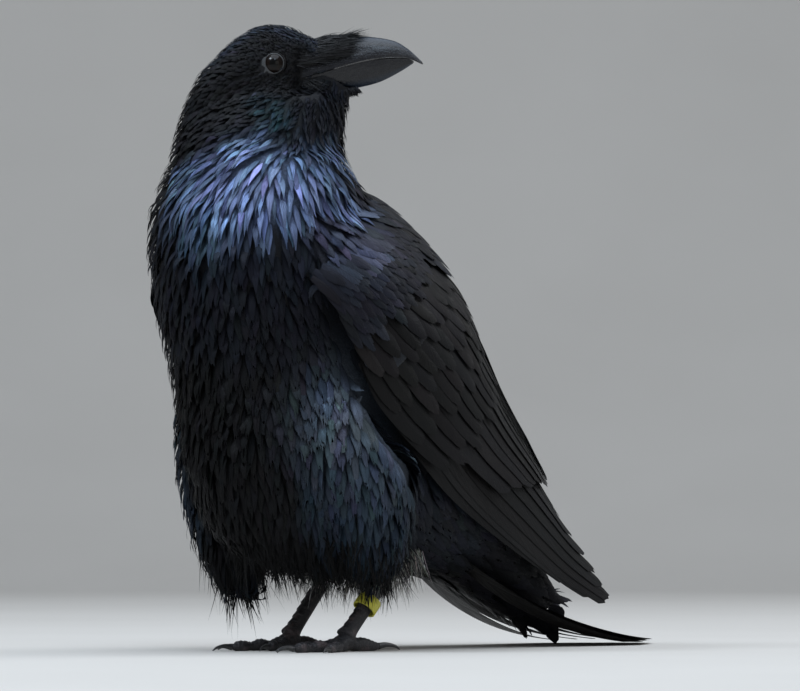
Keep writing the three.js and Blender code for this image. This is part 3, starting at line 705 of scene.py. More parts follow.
# Places and directions in the head's frame: ahead, out, up.
HEAD_MARKS = [
    ("crown", (2, 0, 27), (-1, 0, -0.05), 8, 2.8, 1.9, 1.5, 0.4, 0.2),
    ("crown", (22, 8, 23), (-1, 0.1, 0.1), 6, 2.2, 1.55, 1.2, 0.4, 0.2),
    ("crown", (-17, 6, 15), (-1, 0, -0.5), 9, 3.2, 2.1, 1.9, 0.4, 0.2),
    ("head", (-36, 0, -2), (-0.6, 0, -1), 11, 3.6, 2.5, 2.8, 0.5, 0.3),
    ("head", (-45, 0, -30), (-0.2, 0, -1), 12, 4.0, 2.8, 3.4, 0.5, 0.3),
    ("crown", (33, 4, 18), (-1, 0.15, 0.3), 4.5, 1.6, 1.3, 1.0, 0.5, 0.2),
    ("head", (26, 12, 6), (-0.9, 0.2, 0.2), 3.4, 1.2, 1.15, 0.8, 0.8, 0.2),
    ("head", (12, 20, 13), (-1, 0.1, 0.1), 4.2, 1.5, 1.3, 1.2, 0.6, 0.2),
    ("head", (0, 23, 3), (-1, 0, -0.15), 4.8, 1.7, 1.45, 1.4, 0.5, 0.2),
    ("head", (11, 22, -9), (-0.8, 0, -0.5), 4.6, 1.6, 1.4, 1.2, 0.6, 0.2),
    ("head", (22, 16, -13), (-0.9, 0, -0.4), 4.6, 1.6, 1.4, 1.1, 0.6, 0.2),
    ("head", (-10, 27, -4), (-1, 0, -0.35), 8.5, 3.0, 2.1, 2.2, 0.5, 0.3),
    ("head", (-10, 27, -24), (-0.8, 0, -0.7), 9.5, 3.4, 2.3, 2.6, 0.5, 0.3),
    ("cheek", (9, 23, -27), (-0.5, 0, -0.85), 9, 2.8, 2.1, 2.4, 0.7, 0.3),
    ("throat", (28, 15, -27), (-0.3, 0, -1), 8.5, 2.2, 1.9, 2.2, 0.9, 0.4),
    ("throat", (38, 4, -27), (0, 0, -1), 8, 1.8, 1.8, 2.0, 1.0, 0.5),
]

# Each tract's plain colour and how metallic it looks.
TINTS = {
    "crown": (0.016, 0.021, 0.032, 0.5), "head": (0.006, 0.006, 0.007, 0.05),
    "cheek": (0.010, 0.018, 0.024, 0.4), "throat": (0.007, 0.008, 0.012, 0.3),
    "hackles": (0.100, 0.142, 0.235, 0.9), "neck": (0.006, 0.006, 0.007, 0.10),
    "breast": (0.008, 0.009, 0.013, 0.3), "belly": (0.0045, 0.0045, 0.005, 0.1),
    "flanks": (0.010, 0.012, 0.017, 0.3), "vent": (0.006, 0.006, 0.008, 0.2),
    "back": (0.010, 0.011, 0.017, 0.4),
    "shoulders": (0.010, 0.011, 0.016, 0.45), "thighs": (0.018, 0.027, 0.040, 0.6),
    "wing": (0.006, 0.0055, 0.006, 0.25), "fluff": (0.30, 0.29, 0.27, 0.0),
}
# Painted highlights on top of these, partly the plumage's own gloss: where each is strongest, how far it
# reaches, its colour and how metallic it looks.
# They lie only where the sheen catches the lights, on the bird's left side.
PAINTED_GLOSS = [
    ((37, -66, 320), 8, (0.018, 0.052, 0.064), 0.6),
    ((36, -100, 280), 22, (0.135, 0.175, 0.310), 0.95),
    ((16, -112, 258), 15, (0.070, 0.120, 0.180), 0.85),
    ((77, -50, 246), 20, (0.075, 0.086, 0.135), 0.8),
    ((70, -44, 150), 27, (0.130, 0.158, 0.200), 0.85),
    ((76, -20, 120), 24, (0.065, 0.088, 0.125), 0.8),
]


def tint_at(points, rng=None, tract=None, vary=0.28):
    """Colour and metal share of the plumage at points, with some chance in it if rng is given."""
    tint = plumage.tint(points) if tract is None else np.tile(np.array(TINTS[tract]), (len(points), 1))
    # Painted highlights: near each gloss patch the tint grows brighter and more metallic.
    for place, reach, colour, metal in PAINTED_GLOSS if tract is None else ():
        near = points - np.array(place)
        tint = lerp(tint, np.array([*colour, metal]), 0.85 * np.exp(-dot(near, near) / reach**2))
    if rng is not None:
        tint[:, :3] *= np.exp(rng.normal(0, vary, (len(points), 1)) + rng.normal(0, 0.06, (len(points), 3)))
        tint[:, 3] = np.clip(tint[:, 3] * np.exp(rng.normal(0, 0.2, len(points))), 0, 1)
    return tint


class Plumage:
    """The marks of all tracts, and what they give anywhere on the skin."""

    def __init__(self):
        rows = []
        for tract, place, lie, *sizes in BODY_MARKS:
            for side in (1, -1) if place[0] else (1,):
                mirror = np.array([side, 1, 1])
                rows.append((tract, mirror * place, mirror * lie, sizes))
        rows += [(tract, np.array(place), np.array(lie), sizes) for tract, place, lie, *sizes in NECK_MARKS]
        for tract, place, lie, *sizes in HEAD_MARKS:
            for side in (1, -1) if place[1] else (1,):
                mirror = np.array([1, side, 1])
                ahead, out, up = mirror * lie
                direction = ahead * HEAD_AHEAD + out * HEAD_OUT + up * UP
                rows.append((tract, on_head(*(mirror * place)), direction, sizes))
        self.tracts = [row[0] for row in rows]
        self.places = np.array([row[1] for row in rows], float)
        self.values = np.array([[*unit(row[2]), *row[3], *TINTS[row[0]]] for row in rows], float)

    def lie(self, points):
        return mix_by_distance(points, self.places, self.values)[:, :3]

    def sizes(self, points):
        """(n, 6): length, width, spacing, depth, point and fray."""
        return mix_by_distance(points, self.places, self.values)[:, 3:9]

    def tint(self, points):
        return mix_by_distance(points, self.places, self.values, 7.0)[:, 9:]

    def tract(self, points):
        distance = ((points[:, None] - self.places[None]) ** 2).sum(-1)
        return np.array(self.tracts)[distance.argmin(1)]


plumage = Plumage()

# ---------------------------------------------------------------- vanes: feathers as thin closed meshes


def spread(columns):
    """Column places across a vane, from -1 to 1, with one on the shaft."""
    return np.linspace(-1, 1, columns + 1)


BAKE_PATCH = 0.003
SHAFTED = np.array([-1, -0.72, -0.38, -0.07, 0, 0.07, 0.38, 0.72, 1])


class Vanes:
    """Gathers feathers, each a thin closed vane with an arched upper side, and makes one mesh of them."""

    def __init__(self, rng):
        self.rng = rng
        self.blocks = []

    def add(
        self, spine, up, half_width, tint, point, fray, cup=0.16, columns=6, ridge=0.0, offset=0.0, mirror=False
    ):
        """spine (n, rows + 1, 3) runs from roots to tips and up leans out of the plumage along it.

        Each vane's tip goes from round to sharp as "point" goes from 0 to 1; its outline is torn by "fray".
        The shaft is raised by "ridge" and lies off the middle by "offset" of the half-width.
        """
        n, rows = spine.shape[0], spine.shape[1] - 1
        u = spread(columns) if isinstance(columns, int) else columns
        tangent = unit(np.gradient(spine, axis=1))
        side = unit(np.cross(tangent, up))
        normal = np.cross(side, tangent)
        v = (1 - (1 - np.linspace(0, 1, rows + 1)) ** 1.35)[None, :, None]
        each = (np.broadcast_to(np.asarray(value, float), n) for value in (half_width, point, fray))
        half_width, point, fray = (value[:, None, None] for value in each)
        length = np.linalg.norm(np.diff(spine, axis=1), axis=-1).sum(1)[:, None, None]
        rounding = np.minimum(0.42, 1.15 * half_width / length) * (1 - 0.75 * point)
        jag = self.rng.random((n, 1, len(u))) * (0.55 + 0.45 * (np.arange(len(u)) % 2))
        share = v * (1 - rounding * np.abs(u) ** 2.3 * v**2) * (1 - 0.42 * fray * jag * v**2)
        blunt = (0.42 + 0.58 * smoothstep(v, 0, 0.45)) * (1 - 0.2 * smoothstep(v, 0.75, 1))
        sharp = (0.42 + 0.58 * smoothstep(v, 0, 0.35)) * (1 - 0.93 * smoothstep(v, 0.3, 1.05) ** 1.2)
        width = half_width * lerp(blunt, sharp, point)
        width = width * (1 - 0.1 * fray * self.rng.random((n, rows + 1, 1)))
        at = np.clip(share * rows, 0, rows - 1e-6)
        low = at.astype(int)
        part = (at - low)[..., None]
        vane = np.arange(n)[:, None, None]

        def read(table):
            return table[vane, low] * (1 - part) + table[vane, low + 1] * part

        across = (u - offset * (1 - np.abs(u)))[None, None, :] * width
        on_shaft = (np.abs(u) < 0.01)[None, None, :]
        arch = cup * width * (1 - u**2)[None, None, :] + ridge * on_shaft * (1 - v * 0.8)
        points = read(spine) + read(side) * across[..., None] + read(normal) * arch[..., None]
        uv = np.stack(np.broadcast_arrays((u + 1) / 2, v), -1)
        uv = np.broadcast_to(uv, (n, *uv.shape[1:]))
        roots = spine[:, 0]
        if mirror:
            points = points[:, :, ::-1] * MIRROR
            uv = uv[:, :, ::-1]
            roots = roots * MIRROR
        lot = self.rng.random(n)
        self.blocks.append({"points": points, "uv": uv, "roots": roots, "tint": tint, "lot": lot})

    @staticmethod
    def faces(rows, columns):
        """The faces of one vane, as lists of its own vertices."""
        at = np.arange((rows + 1) * (columns + 1)).reshape(rows + 1, columns + 1)
        top = np.stack([at[:-1, :-1], at[:-1, 1:], at[1:, 1:], at[1:, :-1]], -1).reshape(-1, 4)
        under = np.stack([at[:-1, 0], at[1:, 0], at[1:, -1], at[:-1, -1]], -1)
        return [*top, *under, at[0, ::-1], at[-1]]

    def mesh(self, name, surface, material, slot, nodes=()):
        """One object of all the vanes; each takes the place of its root on the skin in the map OFBake."""
        points, corners, sizes, vane_uv, bake_uv, tints, lots = [], [], [], [], [], [], []
        first = 0
        for block in self.blocks:
            n, rows, columns = block["points"].shape[:3]
            faces = self.faces(rows - 1, columns - 1)
            local = np.concatenate(faces)
            starts = first + np.arange(n)[:, None] * rows * columns
            corners.append((starts + local).ravel())
            sizes.append(np.tile([len(face) for face in faces], n))
            uv = block["uv"].reshape(n, -1, 2)
            vane_uv.append(uv[:, local].reshape(-1, 2))
            root_uv = surface.uv_at(block["roots"])[:, None] + (uv - 0.5) * BAKE_PATCH
            bake_uv.append(root_uv[:, local].reshape(-1, 2))
            points.append(block["points"].reshape(-1, 3))
            tints.append(np.repeat(block["tint"], rows * columns, axis=0))
            lots.append(np.repeat(block["lot"], rows * columns))
            first += n * rows * columns
        corners, sizes = np.concatenate(corners), np.concatenate(sizes)
        mesh = bpy.data.meshes.new(name)
        mesh.vertices.add(first)
        mesh.vertices.foreach_set("co", ((np.concatenate(points) + SHIFT) * MM).ravel())
        mesh.loops.add(len(corners))
        mesh.loops.foreach_set("vertex_index", corners)
        mesh.polygons.add(len(sizes))
        mesh.polygons.foreach_set("loop_start", np.cumsum(sizes) - sizes)
        for layer, uv in (("OFBake", bake_uv), ("vane", vane_uv)):
            mesh.uv_layers.new(name=layer).uv.foreach_set("vector", np.concatenate(uv).ravel())
        tint = mesh.attributes.new("tint", "FLOAT_COLOR", "POINT").data
        tint.foreach_set("color", np.concatenate(tints).ravel())
        mesh.attributes.new("lot", "FLOAT", "POINT").data.foreach_set("value", np.concatenate(lots))
        mesh.update(calc_edges=True)
        mesh.validate()
        obj = bpy.data.objects.new(name, mesh)
        bpy.context.scene.collection.objects.link(obj)
        smooth_shading(obj, 70)
        return finished(obj, material, slot, nodes)


def finished(obj, material, slot, nodes=()):
    """Gives a piece its material and its body, and hides the solids that it stands for; its slot is not used.
    """
    obj.data.materials.clear()
    obj.data.materials.append(material)
    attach(obj, "root")
    if nodes:
        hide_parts(*nodes)
    return obj


def lying_spines(surface, roots, lies, length, depth, hang, rows, stiffness=0.5):
    """Spines that rise out of the skin at their roots and lie along it, or hang free by their "hang"."""
    here, up = surface.nearest(roots)[:2]
    here = here - up * 0.5
    out = dot(lies, up)
    heading = unit(lies - (out - np.clip(out, 0, 1) * hang[:, None]) * up)
    spine, ups = [here], [up]
    step = (length / rows)[:, None]
    for row in range(1, rows + 1):
        share = row / rows
        rise = depth[:, None] * smoothstep(share, -0.15, 0.8)
        probe = here + heading * step
        on, normal = surface.nearest(probe)[:2]
        outside = dot(probe - on, normal)
        lie = plumage.lie(on)
        tangent = unit(lie - dot(lie, normal) * normal)
        follow = unit(on + normal * rise - here)
        follow = unit(follow + (1 - stiffness) * 0.5 * (tangent - dot(tangent, heading) * heading))
        free = unit(heading + np.array([0, 0, -0.15]) * share)
        loose = hang[:, None] * smoothstep(share, 0.15, 0.85) * (outside > rise * 0.7)
        heading = unit(lerp(follow, free, loose))
        here = here + heading * step
        up = unit(lerp(up, normal, 0.6 * (1 - 0.7 * loose)))
        spine.append(here)
        ups.append(up)
    return np.stack(spine, 1), np.stack(ups, 1)


def spaced(points, spacing, rng):
    """Picks points that keep their spacing from each other."""
    tree = tree_of(points)
    free = np.ones(len(points), bool)
    picked = []
    for i in rng.permutation(len(points)):
        if free[i]:
            picked.append(i)
            near = [found[1] for found in tree.find_range(points[i], spacing[i])]
            free[near] = False
    return np.array(picked)

# ---------------------------------------------------------------- bill and eyes

culmen = profile_through(CULMEN)
bill_edge = profile_through(BILL_EDGE)
keel = profile_through(KEEL)


def bill_half_width(ahead):
    share = np.clip((ahead - BILL["start"]) / (BILL["tip"] - BILL["start"]), 0, 1)
    return 0.6 + (BILL["half_width"] - 0.6) * (1 - share**1.5) ** 0.75


def on_upper_bill(ahead, arch_angle, lift=0.0):
    """A point of the upper bill: arch_angle is 0 at its left edge, half pi on the culmen, pi at its right."""
    arch = np.clip(np.sin(arch_angle), 0, 1) ** 0.85
    height = culmen(ahead) - bill_edge(ahead)
    out = (bill_half_width(ahead) * (1 - 0.25 * arch) + lift) * np.cos(arch_angle)
    return on_head(ahead, out, bill_edge(ahead) + height * arch + lift * arch)


HORN_LENGTH = 74


def bill_half(name, outline, upwards, tip):
    """One half of the closed bill, from its cutting edge to the culmen or the keel."""
    start = BILL["start"] + 1.5

    def place(share, angle, r):
        ahead = lerp(start, tip, share)
        gap = 0.2 + (0.45 * np.exp(-(((ahead - 72) / 11) ** 2)) if upwards < 0 else 0)
        flat = bill_edge(ahead) + upwards * gap
        height = np.maximum(0.7, upwards * (outline(ahead) - flat))
        sine = np.sin(angle)
        arch = np.clip(sine, 0, 1) ** (0.85 if upwards > 0 else 0.7)
        hollow = np.clip(-sine, 0, 1) * np.minimum(1.6, 0.3 * height)
        ridge = 0.30 if upwards > 0 else 0.42
        narrow = 1 if upwards > 0 else 0.93
        width = bill_half_width(ahead) * narrow * (1 - ridge * arch**1.5)
        groove = 0.5 * np.exp(-(((arch - 0.42) / 0.10) ** 2)) * smoothstep(-ahead, -74, -58)
        width = np.maximum(0.3, width - groove * r)
        up = flat + upwards * (r * height * arch + hollow * r + (1 - r) * 0.35 * height)
        return on_head(ahead, r * width * np.cos(angle), up)

    bill = swept(name, 64, 90, place)
    ahead, _, up = head_frame(points_of(bill))
    height = upwards * (up - bill_edge(ahead)) / np.maximum(2, np.abs(outline(ahead) - bill_edge(ahead)))
    set_uv(bill, "horn", np.stack([(ahead - start) / HORN_LENGTH, np.clip(height, 0, 1)], -1))
    smooth_shading(bill, 50)
    return bill


def build_bill(settings):
    material = bill_finish(settings)
    upper = bill_half("bill_upper_horn", culmen, 1, BILL["tip"])
    lower = bill_half("bill_lower_horn", keel, -1, BILL["lower_tip"])
    finished(upper, material, "bill", ["bill_upper"])
    finished(lower, material, "bill", ["bill_lower"])


def build_eyes(settings):
    """Balls with a slightly proud cornea, which the lids hold."""
    for side, sign in SIDES.items():
        centre = on_head(EYE["ahead"], sign * EYE["out"], EYE["up"])
        axis = unit(HEAD_OUT * sign + HEAD_AHEAD * 0.05)
        across = unit(np.cross(axis, UP))
        upright = np.cross(across, axis)

        def place(share, angle, r):
            polar = share * math.pi
            cornea = 0.35 * np.exp(-((polar / 0.5) ** 2))
            radius = (EYE["radius"] - 0.15 + cornea)[:, None]
            ring = (r * np.sin(polar))[:, None]
            sweep = across * np.cos(angle)[:, None] + upright * np.sin(angle)[:, None]
            return centre + radius * (axis * np.cos(polar)[:, None] + sweep * ring)

        eye = swept(f"eyeball_{side}", 64, 48, place)
        local = points_of(eye) - centre
        off_axis = np.hypot(local @ across, local @ upright) / EYE["radius"]
        off_axis = np.where(local @ axis > 0, off_axis, 2)
        turn = np.arctan2(local @ upright, local @ across) / math.tau
        set_uv(eye, "eye", np.stack([off_axis, turn], -1))
        finished(eye, eye_finish(settings, side), "eye", [f"eye_{side}"])

# ---------------------------------------------------------------- legs, claws and ring


def on_side(sign, vector):
    return np.array(vector, float) * np.array([sign, 1, 1])


def shank_curve(sign):
    bow = lerp(ANKLE, FOOT, 0.55) + np.array([0, -1.5, -1.5])
    return curve_through([on_side(sign, p) for p in (ANKLE, bow, FOOT)])


def shank_radii(share, angle):
    ankle = 1.6 * np.exp(-(((share - 0.02) / 0.08) ** 2))
    foot = 2.4 * np.exp(-(((share - 1) / 0.1) ** 2))
    return SHANK["half_width"] + ankle + foot - 0.4, SHANK["half_depth"] + ankle + 0.4 * foot - 0.4


def toe_ahead(sign, toe):
    turn = math.radians(toe["angle"])
    return np.array([sign * math.sin(turn), -math.cos(turn), 0])


def toe_radius(toe, share):
    return toe["radius"] * (1 - 0.24 * share) * (1 + 0.1 * np.cos(math.pi * (2 * share * toe["pads"] + 1)))


def toe_line(sign, toe):
    start = on_side(sign, [FOOT[0], FOOT[1], 0])

    def read(share):
        share = np.asarray(share, float)
        height = toe_radius(toe, share) - 0.8 + 0.8 * (1 - np.clip(share, 0, 1)) ** 2
        return start + (share * toe["length"])[..., None] * toe_ahead(sign, toe) + height[..., None] * UP

    return read


def bare_leg(sign):
    """One bare leg: shank and toes in one skin, with scutes raised down the shank's front and on the toes."""
    shank = shank_curve(sign)
    pieces = [swept("shank", 24, 48, tube_about(shank, shank_radii, np.array([0, 1.0, 0])))]

    def palm(share, angle, r):
        level = r * np.sin(share * math.pi)
        wide, long, high = PALM["half_sizes"]
        across, along = wide * level * np.cos(angle), long * level * np.sin(angle)
        ball = np.stack([across, along, high * np.cos(share * math.pi)], -1)
        return on_side(sign, (FOOT[0], FOOT[1], PALM["height"])) + ball

    pieces.append(swept("palm", 24, 20, palm))
    for toe in TOES.values():
        def radii(share, angle, toe=toe):
            end = lerp(0.5, 1, np.sqrt(1 - smoothstep(share, 0.86, 1)))
            knuckles = np.cos(math.pi * (2 * share * toe["pads"] + 1))
            pads = 0.35 * np.clip(-np.sin(angle), 0, 1) * knuckles
            radius = toe_radius(toe, share) * end * (1 + 0.06 * knuckles) - 0.25
            return radius * 0.96, radius + pads

        pieces.append(swept("toe", 20, 40, tube_about(toe_line(sign, toe), radii, UP)))
    leg = join("bare_leg", pieces)
    apply_modifier(leg, "REMESH", mode="VOXEL", voxel_size=0.5 * MM)
    apply_modifier(leg, "SMOOTH", factor=0.5, iterations=6)
    points = points_of(leg)
    normals = normals_of(leg)
    samples = shank(np.linspace(0, 1, 160))
    nearest = ((points[:, None] - samples[None]) ** 2).sum(-1).argmin(1)
    share = nearest / 159
    away = points - samples[nearest]
    front = smoothstep(-away[:, 1] / np.maximum(1, np.linalg.norm(away, axis=1)), 0.1, 0.6)
    slant = 0.03 * away[:, 0] / 4
    plate = ((share + slant) * 9.5) % 1
    relief = 0.6 * plate**1.5 * front * (points[:, 2] > 9)
    for toe in TOES.values():
        line = toe_line(sign, toe)
        ahead = toe_ahead(sign, toe)
        along = (points - line(0.0)) @ ahead
        off = points - line(np.clip(along / toe["length"], 0, 1))
        reach = (np.linalg.norm(off, axis=1) < toe["radius"] + 2) & (along > 4) & (along < toe["length"] + 1)
        top = smoothstep(normals[:, 2], 0.15, 0.6) * reach * (points[:, 2] < 9)
        relief = np.maximum(relief, 0.5 * ((along / 3.1) % 1) ** 1.5 * top)
    points = points + normals * (relief - 0.12)[:, None]
    points[:, 2] = np.maximum(points[:, 2], 0.02)
    set_points(leg, points)
    return leg


def build_claws(settings):
    material = claw_finish(settings)
    for side, sign in SIDES.items():
        for name, toe in TOES.items():
            base = toe_radius(toe, 1.0) * 0.78
            start = on_side(sign, [FOOT[0], FOOT[1], 0]) + toe_ahead(sign, toe) * (toe["length"] - 1.2)
            base_z = toe_radius(toe, 1.0) - 0.6
            arch = [(0, base_z), (0.36, base_z * 1.38), (0.72, base_z * 0.95), (0.9, 0.35)]
            reach = toe["claw"] + 1.2
            line = curve_through([start + toe_ahead(sign, toe) * reach * at + UP * z for at, z in arch])

            def radii(share, angle):
                radius = lerp(base, 0.32, share**0.9)
                under = 1 - 0.18 * np.clip(-np.sin(angle), 0, 1)
                return radius * (0.72 - 0.10 * np.sin(angle)), radius * under

            claw = swept(f"talon_{name}_{side}", 28, 36, tube_about(line, radii, UP))
            points = points_of(claw)
            points[:, 2] = np.maximum(points[:, 2], 0.02)
            set_points(claw, points)
            finished(claw, material, "claw", [f"claw_{name}_{side}"])


def build_ring(settings):
    """A split plastic band, closed round the left shank."""
    bpy.ops.object.select_all(action="DESELECT")
    middle = (RING["inner"] + RING["outer"]) / 2 * MM
    bpy.ops.mesh.primitive_cylinder_add(
        vertices=96, radius=middle, depth=RING["height"] * MM, end_fill_type="NOTHING"
    )
    ring = bpy.context.object
    ring.name = ring.data.name = "leg_band"
    only(ring)
    bpy.ops.object.mode_set(mode="EDIT")
    bpy.ops.mesh.select_all(action="DESELECT")
    bpy.ops.object.mode_set(mode="OBJECT")
    for face in ring.data.polygons:
        face.select = abs(math.atan2(face.center.y, face.center.x) - 0.9) < 0.05
    bpy.ops.object.mode_set(mode="EDIT")
    bpy.ops.mesh.delete(type="FACE")
    bpy.ops.object.mode_set(mode="OBJECT")
    apply_modifier(ring, "SOLIDIFY", thickness=(RING["outer"] - RING["inner"]) * MM, offset=0)
    apply_modifier(ring, "BEVEL", width=0.28 * MM, segments=3, limit_method="ANGLE")
    curve = shank_curve(1)
    share = RING["share"]
    axis = unit(curve(share - 0.02) - curve(share + 0.02))
    turn = Vector((0, 0, 1)).rotation_difference(Vector(axis)).to_matrix().to_4x4()
    ring.data.transform(turn)
    set_points(ring, points_of(ring) + SHIFT + curve(share))
    smooth_shading(ring, 35)
    finished(ring, ring_finish(settings), "ring", ["leg_ring"])

# ---------------------------------------------------------------- skin


def move_along_normals(obj, distance):
    """Moves each vertex out along its normal by a distance in millimetres, one for all or one for each."""
    distances = np.broadcast_to(distance, len(obj.data.vertices))[:, None]
    set_points(obj, points_of(obj) + normals_of(obj) * distances)


def cut_away(obj, place, direction):
    """Cuts off what lies beyond a plane and closes the cut."""
    at = (np.array(place) + SHIFT) * MM

    def cut():
        bpy.ops.mesh.bisect(plane_co=at, plane_no=direction, use_fill=True, clear_outer=True)

    edit(obj, cut)


def eyelids(sign):
    """The rim of the lids and a fine fold round it."""
    axis = Vector(HEAD_OUT * sign)
    turn = axis.to_track_quat("Z", "Y").to_matrix().to_4x4()
    rims = []
    for major, minor, out in ((EYE["opening"], 0.42, 21.2), (6.8, 0.4, 20.5)):
        bpy.ops.object.select_all(action="DESELECT")
        bpy.ops.mesh.primitive_torus_add(
            major_radius=major * MM, minor_radius=minor * MM, major_segments=72, minor_segments=14
        )
        rim = bpy.context.object
        rim.data.transform(turn)
        set_points(rim, points_of(rim) + SHIFT + on_head(EYE["ahead"], sign * out, EYE["up"]))
        rims.append(rim)
    return rims


def unite(obj, others):
    for other in others:
        apply_modifier(obj, "BOOLEAN", operation="UNION", solver="MANIFOLD", object=other)
        bpy.data.objects.remove(other)


SKIN_TRIANGLES = 180000
# The skin takes in the wing's shoulder as far as this plane, on the left side.
WING_CUT = {"place": (71.5, 38, 202), "direction": (-0.143, 0.585, -0.798)}
# On the left side, the line of the fold between thigh and wing, where no feathers have their roots.
WING_FOLD = np.array([(72.0, -35.0, 153.0), (68.0, 16.0, 104.0)])
FOLD_REACH = 6


def build_skin(settings):
    """One skin for the whole bird: inside the plumage by its depth, with lids, bare shanks and toes."""
    flesh = ["head", "neck", "trunk", "thigh_left", "thigh_right"]
    bills = ["bill_upper", "bill_lower"]
    wings = ["wing_left", "wing_right"]
    copies = copy_of_nodes(*flesh, *bills, "eye_left", "eye_right", *wings)
    for copy in copies[5:7]:
        cut_away(copy, on_head(46, 0, 0), HEAD_AHEAD)
    for copy, sign in zip(copies[9:], SIDES.values()):
        cut_away(copy, on_side(sign, WING_CUT["place"]), on_side(sign, WING_CUT["direction"]))
    closing = 0.9
    for copy in copies:
        move_along_normals(copy, closing)
    skin = join("skin", copies)
    apply_modifier(skin, "REMESH", mode="VOXEL", voxel_size=1.9 * MM)
    apply_modifier(skin, "SMOOTH", factor=0.5, iterations=10)
    move_along_normals(skin, -(plumage.sizes(points_of(skin))[:, 3] + closing))
    points = points_of(skin)
    ahead, out, up = head_frame(points)
    below = 1 - smoothstep(up, -24, -13)
    cheek = bill_half_width(ahead) - 1.0 + 9 * (1 - smoothstep(ahead, 19, 28)) + 24 * below
    squeezed = np.where(ahead > 18, np.clip(out, -cheek, cheek), out)
    top = culmen(ahead) - 0.8 + 6 * (1 - smoothstep(ahead, 28, 36))
    low = keel(ahead) + 1.2 - 30 * (1 - smoothstep(ahead, 53, 57))
    level = np.where(ahead > 26, np.clip(up, low, top), up)
    near_head = (np.abs(ahead - 35) < 20) & (np.abs(out) < 30) & (up > -40)
    points = np.where(near_head[:, None], on_head(ahead, squeezed, level), points)
    set_points(skin, points)
    apply_modifier(skin, "REMESH", mode="VOXEL", voxel_size=1.6 * MM)
    apply_modifier(skin, "SMOOTH", factor=0.5, iterations=5)
    for sign in SIDES.values():
        unite(skin, [*eyelids(sign), bare_leg(sign)])
    skin.data.calc_loop_triangles()
    apply_modifier(skin, "DECIMATE", ratio=min(1, SKIN_TRIANGLES / len(skin.data.loop_triangles)))
    edit(skin, lambda: bpy.ops.uv.smart_project(angle_limit=math.radians(66), island_margin=0.001))
    skin.data.uv_layers.active.name = "OFBake"
    points = points_of(skin)
    # The plumage's tints, with the painted highlights of the gloss patches.
    tint = tint_at(points)
    skin.data.attributes.new("tint", "FLOAT_COLOR", "POINT").data.foreach_set("color", tint.ravel())
    smooth_shading(skin, 60)
    finished(skin, skin_finish(), "leg_skin", [*flesh, *wings])
    skin.data.materials.append(leg_finish(settings))
    skin.data.materials.append(lid_finish())
    middles = np.empty(len(skin.data.polygons) * 3)
    skin.data.polygons.foreach_get("center", middles)
    middles = middles.reshape(-1, 3) / MM - SHIFT
    kind = np.where(on_bare_leg(middles), 1, 0)
    ahead, out, up = head_frame(middles)
    off_axis = np.hypot(ahead - EYE["ahead"], up - EYE["up"])
    kind = np.where((off_axis < EYE["opening"] + 0.5) & (np.abs(out) > 19), 2, kind)
    skin.data.polygons.foreach_set("material_index", kind)
    legs = [f"tarsus_{side}" for side in SIDES]
    toes = [f"toe_{toe}_{side}" for toe in TOES for side in SIDES]
    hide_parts(*legs, *toes)


def on_bare_leg(points):
    """Whether points are on the bare shanks and feet."""
    bare = points[:, 2] < 12
    for sign in SIDES.values():
        samples = shank_curve(sign)(np.linspace(0, 1, 60))
        away = np.sqrt(((points[:, None] - samples[None]) ** 2).sum(-1).min(1))
        bare |= (away < 7.5) & (points[:, 2] < 60)
    return bare

# ---------------------------------------------------------------- the body's plumage

TRACTS = {
    "plumage_head": ["crown", "head", "cheek"], "hackles": ["hackles", "throat"], "plumage_neck": ["neck"],
    "plumage_breast": ["breast"], "plumage_belly": ["belly"], "plumage_flanks": ["flanks", "vent"],
    "plumage_back": ["back"], "plumage_thighs": ["thighs"], "plumage_shoulders": ["shoulders"],
}


def skin_surface():
    if "surface" not in shared:
        shared["surface"] = Surface(bpy.data.objects["skin"])
    return shared["surface"]


shared = {}


def tree_of_nodes(*names):
    """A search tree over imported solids, in the bird's frame."""
    points, faces, first = [], [], 0
    for name in names:
        mesh = frame["nodes"][name].data
        mesh.calc_loop_triangles()
        points += (points_of(frame["nodes"][name])).tolist()
        faces += [[first + i for i in triangle.vertices] for triangle in mesh.loop_triangles]
        first += len(mesh.vertices)
    return BVHTree.FromPolygons(points, faces)


def under_flight_feathers(places, normals):
    """Whether something of the wings or tail lies close over places on the skin."""
    rows = ("wing", "secondaries", "primaries")
    tree = tree_of_nodes(*(f"{row}_{side}" for row in rows for side in SIDES), "tail")
    covered = []
    for place, normal in zip(places, normals):
        hit, face_normal, _, _ = tree.ray_cast(Vector(place), Vector(normal), 16)
        covered.append(hit is not None and face_normal.dot(Vector(normal)) < 0)
    return np.array(covered)


def wing_share(points):
    """How far along the wing points lie, from bend to tip, and how far they are from its surface."""
    shares, heights = np.meshgrid(np.linspace(0, 1, 90), np.linspace(0, 1, 24), indexing="ij")
    table = wing_surface(shares.ravel(), heights.ravel())
    tree = tree_of(table)
    found = [tree.find(p) for p in on_left(points)]
    return shares.ravel()[[f[1] for f in found]], np.array([f[2] for f in found])


def may_grow(places):
    """Leaves out the bare legs, the eyes, the bill and the part of the wings that has rows of its own."""
    ahead, out, up = head_frame(places)
    eye = (np.hypot(ahead - EYE["ahead"], up - EYE["up"]) < EYE["opening"] + 0.9) & (np.abs(out) > 12)
    bill = np.zeros(len(places), bool)
    near = np.flatnonzero((ahead > 26) & (up > -20))
    for half in ("bill_upper_horn", "bill_lower_horn"):
        on, normal = Surface(bpy.data.objects[half]).nearest(places[near])[:2]
        bill[near] |= dot(places[near] - on, normal)[:, 0] < 0.35
    bill |= (ahead > 53) & (up > -26)
    share, distance = wing_share(places)
    wing = (share > 0.13) & (distance < 9)
    start, way = WING_FOLD[0], WING_FOLD[1] - WING_FOLD[0]
    off = on_left(places) - start
    along = np.clip(off @ way / (way @ way), 0, 1)[:, None]
    fold = np.linalg.norm(off - along * way, axis=1) < FOLD_REACH
    return ~(eye | bill | wing | fold | on_bare_leg(places))


